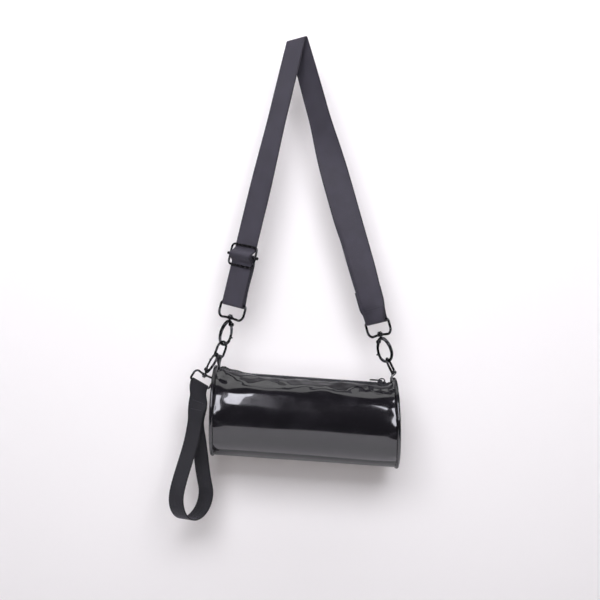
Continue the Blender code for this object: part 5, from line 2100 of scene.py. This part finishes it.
@dataclass
class Zip:
    """Moulded zip along the top: tapes, spines with teeth, stops, slider and pull."""

    pitch: float = 0.0047
    count: int = 34
    start: float = -0.08125
    teeth: float = 0.0022
    spine_inner: float = 0.0016
    spine: float = 0.0016
    tape_width: float = 0.0095
    tape: float = 0.0006
    tape_room: float = 0.0003
    tooth_gap: float = 0.00025
    neck: float = 0.78
    tip: float = 0.8
    crown: float = 0.00025
    stop: float = 0.0025
    slider_length: float = 0.009
    plate: float = 0.001
    wall: float = 0.0008
    bridge_wire: float = 0.0014
    bridge: float = 0.006
    bridge_room: float = 0.0005
    pull_wire: float = 0.0012
    pull_length: float = 0.0125
    pull_width: float = 0.0056

    def __post_init__(self) -> None:
        """Work out the zip's levels."""
        self.outer = self.spine_inner + self.spine
        self.depth = VINYL + GAP + self.tape_room + self.tape / 2
        self.end = self.start + (self.count + 0.5) * self.pitch
        self.height = SHAPE.radius - SHAPE.sag - self.depth

    def cloth_tape(self, word: str, side: int) -> Piece:
        """One tape under the panel's edge; its ends close up beyond the teeth.

        Args:
            word: its word in names.
            side: -1 or 1, as its word says.

        Returns:
            The tape.
        """
        inset = SHAPE.seam_inset + 2 * (VINYL + GAP) + GAP
        left, right = SHAPE.end(-1, SHAPE.radius) + inset, SHAPE.end(1, SHAPE.radius) - inset
        zone_start, zone_end = self.start - self.stop - 2 * GAP, self.end + self.stop + 2 * GAP
        wide = self.outer + GAP + self.tape_width
        rows, flat = [], []
        for step in range(161):
            x = left + (right - left) * step / 160
            beyond = max((zone_start - x) / (zone_start - left), (x - zone_end) / (right - zone_end))
            closed = smoothstep((beyond - 0.3) / 0.7)
            inner = GAP + self.outer * (1 - closed)
            asides = [inner + (wide - inner) * part / 16 for part in range(17)]
            row = []
            for aside in asides:
                angle = side * aside / SHAPE.radius
                share = smoothstep((aside - self.outer - GAP - self.wall) / (SHAPE.mouth / 2 - self.outer - self.wall))
                row.append(SHAPE.skin(x, angle, self.depth + SHAPE.drawn_in(x, abs(angle)) * share))
            rows.append(row)
            flat.append([(aside, x) for aside in asides])
        return cloth_sheet(f"tape_{word}", rows, flat, self.tape, 0.0)

    def tooth(self, side: int) -> Piece:
        """One moulded tooth: foot on the spine, neck, wider head past the middle, and a crowned top.

        Args:
            side: -1 for the front row, 1 for the back one.

        Returns:
            The tooth at the start of its row.
        """
        length = self.pitch / 2 - self.tooth_gap
        shift = 0 if side < 0 else self.pitch / 2
        first = self.start + shift + self.tooth_gap / 2
        half = self.teeth / 2
        foot, far = side * self.spine_inner, side * self.outer
        reach = 2 * self.spine_inner - 2 * self.tooth_gap
        body = block((first, min(foot, far), -half), (first + length, max(foot, far), half))
        inwards = Vector((0, -side, 0))
        for share, wide in ((0.32, self.neck), (0.38, 1 / self.neck), (0.3, self.tip)):
            work_face(body, inwards, (wide, 1, 1), inwards * reach * share)
        work_face(body, UP, (0.62, 0.86, 1), (0, 0, self.crown))
        return bevelled(body, 0.0004, 3, 25)

    def row(self, word: str, side: int) -> Piece:
        """One row of teeth, copied from one.

        Args:
            word: its word in names.
            side: -1 or 1, as its word says.

        Returns:
            The row.
        """
        teeth = self.tooth(side)
        teeth.name = f"zip_row_{word}"
        copies = teeth.modifiers.new("row", "ARRAY")
        copies.count = self.count
        copies.use_relative_offset = False
        copies.use_constant_offset = True
        copies.constant_offset_displace = (self.pitch, 0, 0)
        hold(teeth)
        bpy.ops.object.modifier_apply(modifier=copies.name)
        smooth(teeth, 40)
        return settle(teeth, SHAPE.place @ Matrix.Translation((0, 0, self.height)))

    def spine_cord(self, side: int) -> Piece:
        """Cord along the tape's edge that the teeth are moulded round.

        Args:
            side: -1 front, 1 back.

        Returns:
            The cord.
        """
        path = [(self.start + (self.end - self.start) * step / 40, 0) for step in range(41)]
        cord = draw_wire("spine", path, [self.spine / 2 * 0.82] * 41, 12)
        smooth(cord, 60)
        return settle(cord, Matrix.Translation((0, side * (self.spine_inner + self.spine / 2), self.height)))

    def stops(self) -> list[tuple[Piece, str]]:
        """Crimped stops: two beyond the slider and one at the open end.

        Returns:
            Each stop and its node.
        """
        half = self.teeth / 2
        made = []
        for word, side in (("front", -1), ("back", 1)):
            near, far = side * (self.spine_inner + GAP), side * self.outer
            low, high = min(near, far), max(near, far)
            made.append(((self.end + GAP, low, -half), (self.end + GAP + self.stop, high, half), word))
        first = self.start - GAP
        made.append(((first - self.stop, -self.outer, -half), (first, self.outer, half), "end"))
        pieces = []
        for low, high, word in made:
            piece = bevelled(block(low, high), 0.0004, 3, 40)
            piece.name = f"crimped_stop_{word}"
            smooth(piece, 50)
            place = SHAPE.place @ Matrix.Translation((0, 0, self.height))
            pieces.append((settle(piece, place), f"zip_stop_{word}"))
        return pieces

    def slider(self) -> tuple[Piece, Piece]:
        """Slider body and pull, closed end to the right.

        Returns:
            Slider body and pull.
        """
        post = self.spine_inner - GAP
        run = self.end + 2 * GAP + 2 * post - self.slider_length / 2
        half_length, half_width = self.slider_length / 2, self.outer + GAP + self.wall
        inner = self.teeth / 2 + GAP
        outer = inner + self.plate
        parts = []
        for low, high in ((inner, outer), (-outer, -inner)):
            plate = block((-half_length, -half_width, low), (half_length, half_width, high))
            work_face(plate, Vector((-1, 0, 0)), (1, 0.84, 1))
            parts.append(bevelled(plate, 0.00045, 3, 40))
        room = self.tape / 2 + 2 * GAP
        for side in (-1, 1):
            for level in (-1, 1):
                near, far = side * (self.outer + GAP), side * half_width
                ends = sorted((level * room, level * (inner + self.plate / 2)))
                flange = block((-half_length * 0.9, min(near, far), ends[0]), (half_length, max(near, far), ends[1]))
                parts.append(bevelled(flange, 0.0002, 2, 40))
        parts.append(turned(post, 2 * inner + self.plate, (half_length - post, 0, 0), UP, 20))
        top = outer + GAP + self.pull_wire + self.bridge_room + self.bridge_wire / 2
        reach, base = self.bridge / 2, outer - self.plate / 2
        arch = [(-reach, base), (-reach, top - reach / 2), (-reach / 2, top), (reach / 2, top)]
        arch = resample(arch + [(reach, top - reach / 2), (reach, base)], 0.0005)
        parts.append(draw_wire("bridge", arch, [self.bridge_wire / 2] * len(arch), 12, False, 1.25))
        place = SHAPE.place @ Matrix.Translation((run, 0, self.height))
        body = settle(join(parts, "slider_body"), place)
        smooth(body, 45)
        half = self.pull_width / 2
        loop = rounded_loop(half, -half, self.pull_length - half, half - GAP / 2, 10)
        pull = draw_wire("pull_loop", loop, [self.pull_wire / 2] * len(loop), 12, True)
        flat = Matrix(((0, 0, -1, -half), (1, 0, 0, 0), (0, 1, 0, 0), (0, 0, 0, 1)))
        settle(pull, place @ Matrix.Translation((0, 0, outer + GAP + self.pull_wire / 2)) @ flat)
        smooth(pull, 60)
        return body, pull

    def build(self, finishes: Finishes) -> None:
        """Make the zip.

        Args:
            finishes: the finishes.
        """
        for word, side in (("front", -1), ("back", 1)):
            tape = settle(join([self.cloth_tape(word, side), self.spine_cord(side)], f"tape_{word}"), SHAPE.place)
            dress(tape, finishes.tape, "bag", (f"zip_tape_{word}",))
            dress(self.row(word, side), finishes.plastic, "bag", (f"zip_teeth_{word}",))
        for piece, node in self.stops():
            dress(piece, finishes.metal, "bag", (node,))
        body, pull = self.slider()
        dress(body, finishes.metal, "slider", ("zip_slider",))
        dress(pull, finishes.metal, "pull", ("zip_pull",))


# ---- wrist strap


@dataclass
class WristStrap:
    """Narrow webbing sewn round the small loop's bar, and its open loop for the wrist."""

    loop_frame: Matrix
    width: float = 0.020
    thickness: float = 0.0013
    length: float = 0.1435
    sewn_end: float = 0.017
    split: float = 0.043
    loop_radius: float = 0.0245
    layer_room: float = 0.0003
    neck: float = 0.007
    turn: float = math.radians(34)
    turned_share: float = 0.29
    drift: Table = ((0.0, 0.0), (0.35, -0.031), (0.8, -0.061), (1.0, -0.0675))

    def path(self) -> list[Point]:
        """(place, aside) pairs from the inner end round the bar and the open loop.

        Returns:
            The pairs.
        """
        layer = self.thickness + self.layer_room
        fold = WRIST_CLASP.loop_wire / 2 + GAP + self.thickness / 2
        centre = self.length - self.loop_radius
        slant = math.asin(self.loop_radius / (centre - self.split))
        middle = (self.sewn_end + self.split) / 2
        path = [(middle, 0), (self.sewn_end, 0), (self.neck, -fold / 2)]
        turns = [math.pi * (step / 16 - 1) for step in range(17)]
        path += [(fold * math.sin(turn), fold * math.cos(turn)) for turn in turns]
        path += [(self.neck, (layer + fold) / 2), (self.sewn_end, layer), (middle, layer), (self.split, layer)]
        for step in range(41):
            turn = slant - (math.pi + 2 * slant) * step / 40
            path.append((centre - self.loop_radius * math.sin(turn), self.loop_radius * math.cos(turn)))
        return path + [(self.split, -layer), (middle, -layer), (self.sewn_end, -layer)]

    def row(self, place: float, aside: float) -> Row:
        """Row of the strap at a place down it and a distance aside of its middle sheet.

        Args:
            place: distance down.
            aside: distance aside.

        Returns:
            The row.
        """
        bar, bar_way = self.loop_frame.translation, self.loop_frame.to_3x3() @ Vector((1, 0, 0))

        def hang(at: float) -> Vector:
            """Point down the strap's middle.

            Args:
                at: distance down.

            Returns:
                The point.
            """
            drift = self.length * between(self.drift, at / self.length)
            down = Vector((drift, 0, -at))
            slip = down.dot(bar_way) * (1 - smoothstep(at / self.sewn_end))
            return bar + down - bar_way * slip

        share = smoothstep(place / self.length / self.turned_share)
        across = bar_way.lerp(plan(self.turn), share).normalized()
        along = (hang(place + GAP) - hang(place)).normalized()
        return Row(hang(place) + along.cross(across).normalized() * aside, across)

    def build(self, finishes: Finishes) -> None:
        """Weave the strap and sew it.

        Args:
            finishes: the finishes.
        """
        cloth = StrapCloth(self.width, self.thickness, 0.0, 18)
        rows = [self.row(place, aside) for place, aside in resample(self.path(), 0.0014)]
        strap = cloth.make("wrist_strap_webbing", rows)
        dress(strap, finishes.wrist, "wrist_band", ("wrist_strap",))
        layer = self.thickness + self.layer_room
        lines = []
        for place in (self.sewn_end + 0.002, self.sewn_end + 0.0105):
            for sign in (-1, 1):
                spot = self.row(place, sign * (layer + self.thickness / 2))
                below = self.row(place, 0)
                normal = (spot.middle - below.middle).normalized()
                lines.append([(spot.middle + spot.across * u, normal) for u in (-0.0075, 0, 0.0075)])
        for number, line in enumerate(lines):
            piece = Thread(0.002, 0.0006, 0.0002).sew(f"wrist_stitches_{number}", line)
            dress(piece, finishes.webbing_thread, "wrist_band")


# ---- studio


@dataclass
class Lamp:
    """One softbox."""

    name: str
    place: Vector
    aim: Vector
    size: Point
    radiance: float
    colour: Colour = (1.0, 1.0, 1.0)
    mirrored: bool = False

    def hang(self) -> None:
        """Hang it in the studio: a mirrored one shows in glossy faces, any other lights the matt ones."""
        data = bpy.data.lights.new(self.name, "AREA")
        data.shape = "RECTANGLE"
        data.size, data.size_y = self.size
        data.energy = self.radiance * math.pi * self.size[0] * self.size[1]
        data.color = self.colour
        lamp = bpy.data.objects.new(self.name, data)
        lamp.location = self.place
        lamp.rotation_euler = (self.aim - self.place).to_track_quat("-Z", "Y").to_euler()
        lamp.visible_camera = False
        lamp.visible_glossy = self.mirrored
        lamp.visible_diffuse = not self.mirrored
        bpy.context.scene.collection.objects.link(lamp)


@dataclass
class Studio:
    """Camera, pale wall and floor, softboxes and a dim room."""

    eye: Vector = Vector((0.0032, -1.1, -0.2777))
    view_angle: float = math.radians(32.54)
    wall: float = 0.056
    floor: float = -0.64
    floor_edge: float = -0.44
    half_width: float = 1.6
    top: float = 0.9
    back: float = 2.0
    front: float = -2.5
    room: float = 0.045
    glow: Colour = (0.06, 0.045, 0.035)
    card: Point = (0.13, -0.20)
    card_share: float = 0.42

    def paper(self, name: str, mirrored: float = 1.0, see_through: bool = False) -> Paint:
        """White paper, a little brighter to the camera.

        Args:
            name: the material's name.
            mirrored: share of its white that glossy faces mirror.
            see_through: whether its back can't be seen.

        Returns:
            The material.
        """
        made, graph, shader = start_material(name)
        path = graph.add("LightPath")
        plain = (0.9, 0.88, 0.925, 1)
        set_up(graph, shader, Base_Color=plain, Roughness=0.9, Specular_IOR_Level=0.1, Emission_Strength=1.0)
        glow = graph.blend(path.outputs["Is Camera Ray"], (0, 0, 0, 1), (*self.glow, 1))
        set_up(graph, shader, Emission_Color=glow)
        if see_through:
            dim = tuple(part * mirrored for part in plain[:3])
            set_up(graph, shader, Base_Color=graph.blend(path.outputs["Is Glossy Ray"], plain, (*dim, 1)))
            clear = graph.add("BsdfTransparent")
            back = graph.add("NewGeometry").outputs["Backfacing"]
            mix = graph.add("MixShader", {0: back, 1: shader.outputs[0], 2: clear.outputs[0]})
            graph.tree.links.new(mix.outputs[0], graph.tree.nodes["Material Output"].inputs[0])
        return made

    def sheet(self, name: str, corners: Sequence[Vector], paint: Paint) -> Piece:
        """Flat sheet of paper between four corners.

        Args:
            name: the object's name.
            corners: its corners.
            paint: its material.

        Returns:
            The sheet.
        """
        made = mesh_object(name, corners, [(0, 1, 2, 3)])
        made.data.materials.append(paint)
        return made

    def floor_sheet(self, name: str, near: float, far: float, paper: str) -> Piece:
        """Part of the floor, which lights nothing.

        Args:
            name: its name.
            near: Y of its front edge.
            far: Y of its back edge.
            paper: its material's name.

        Returns:
            The sheet.
        """
        wide = self.half_width
        corners = ((-wide, near), (wide, near), (wide, far), (-wide, far))
        made = self.sheet(name, [Vector((x, y, self.floor)) for x, y in corners], self.paper(paper))
        made.visible_diffuse = False
        return made

    def build(self) -> None:
        """Set up the studio."""
        scene = bpy.context.scene
        data = bpy.data.cameras.new("camera")
        data.angle = self.view_angle
        data.clip_start = 0.01
        camera = bpy.data.objects.new("camera", data)
        camera.location = self.eye
        camera.rotation_euler = (math.pi / 2, 0, 0)
        scene.collection.objects.link(camera)
        scene.camera = camera
        scene.view_settings.view_transform = "Standard"
        wide, high = self.half_width, self.top
        half, top = self.card
        plain, bright = self.paper("wall paper", see_through=True), self.paper("card", self.card_share, True)
        parts = (
            ("wall_left", -wide, -half, self.floor, top, plain),
            ("wall_card", -half, half, self.floor, top, bright),
            ("wall_right", half, wide, self.floor, top, plain),
            ("wall_high", -wide, wide, top, high, plain),
        )
        for name, left, right, low, upper, paint in parts:
            corners = ((left, low), (right, low), (right, upper), (left, upper))
            part = self.sheet(name, [Vector((x, self.wall, z)) for x, z in corners], paint)
            part.visible_glossy = paint is bright
        self.floor_sheet("floor", self.floor_edge, self.back, "floor paper")
        self.floor_sheet("floor_front", self.front, self.floor_edge, "front floor paper").visible_glossy = False
        bag = Vector((0.0, 0.0, -0.40))
        Lamp("top light", Vector((0.0, -0.30, 0.62)), Vector((0, -0.1, -0.4)), (1.5, 0.75), 1.35).hang()
        Lamp("key light", Vector((-0.02, -1.3, 0.42)), bag, (1.3, 0.6), 8.0).hang()
        Lamp("fill light", Vector((0.0, -1.4, -0.30)), bag, (1.5, 1.0), 1.65).hang()
        lavender = (0.92, 0.91, 1.0)
        over, below = Vector((0.0, 0.15, 0.62)), Vector((0, 0.15, -0.4))
        Lamp("overhead softbox", over, below, (1.5, 0.52), 0.95, mirrored=True).hang()
        Lamp("front strip", Vector((-0.098, -0.80, 0.37)), bag, (0.09, 0.80), 10.0, lavender, True).hang()
        Lamp("left softbox", Vector((-0.52, -1.08, 0.36)), bag, (0.36, 1.05), 8.0, lavender, True).hang()
        Lamp("right softbox", Vector((0.63, -1.05, 0.33)), bag, (0.30, 1.0), 8.0, lavender, True).hang()
        world = bpy.data.worlds.new("room")
        scene.world = world
        world.use_nodes = True
        graph = Graph(world.node_tree)
        path = graph.add("LightPath")
        shade = graph.blend(path.outputs["Is Camera Ray"], (self.room, self.room, self.room * 1.05, 1), (1, 1, 1, 1))
        graph.tree.links.new(shade, world.node_tree.nodes["Background"].inputs[0])


def main() -> None:
    """Build the bag, its straps and the studio."""
    logging.basicConfig(level=logging.INFO, format="%(message)s")
    deselect()
    finishes = Finishes.make()
    Studio().build()
    strap = ShoulderStrap()
    strap.build(finishes)
    Adjuster(strap).build(finishes)
    left = chain_frame(LEFT_LEG, math.radians(16.5), -1)
    right = chain_frame(RIGHT_LEG, math.radians(15), 1)
    turned_right = right @ Matrix.Rotation(math.radians(24), 4, "Z")
    HungClasp("left", SHOULDER_CLASP, left, left, 1).build(finishes)
    HungClasp("right", SHOULDER_CLASP, right, turned_right, -1).build(finishes)
    left_ring = ring_frame(left, math.radians(20), math.radians(55), -1)
    right_ring = ring_frame(right, math.radians(26), math.radians(74), 1)
    EndRing("left", left_ring).build(finishes)
    EndRing("right", right_ring).build(finishes)
    SideTab("left", -1, left_ring).build(finishes)
    SideTab("right", 1, right_ring).build(finishes)
    stem = Vector((-0.50, -0.10, -0.86)).normalized()
    lift = (RING_WIRE + WRIST_CLASP.low_wire) / 2 + GAP
    apex = left_ring @ Vector((-0.0048, 0, 0)) - stem * lift
    bar = apex - stem * WRIST_CLASP.hook_low
    hook_frame = axes(bar, Vector((0.64, -0.77, 0)), stem)
    loop_frame = axes(bar, Vector((0.85, 0.42, -0.31)), stem)
    HungClasp("wrist", WRIST_CLASP, loop_frame, hook_frame, -1).build(finishes)
    WristStrap(loop_frame).build(finishes)
    BagBody().build(finishes)
    Zip().build(finishes)


if __name__ == "__main__":
    main()
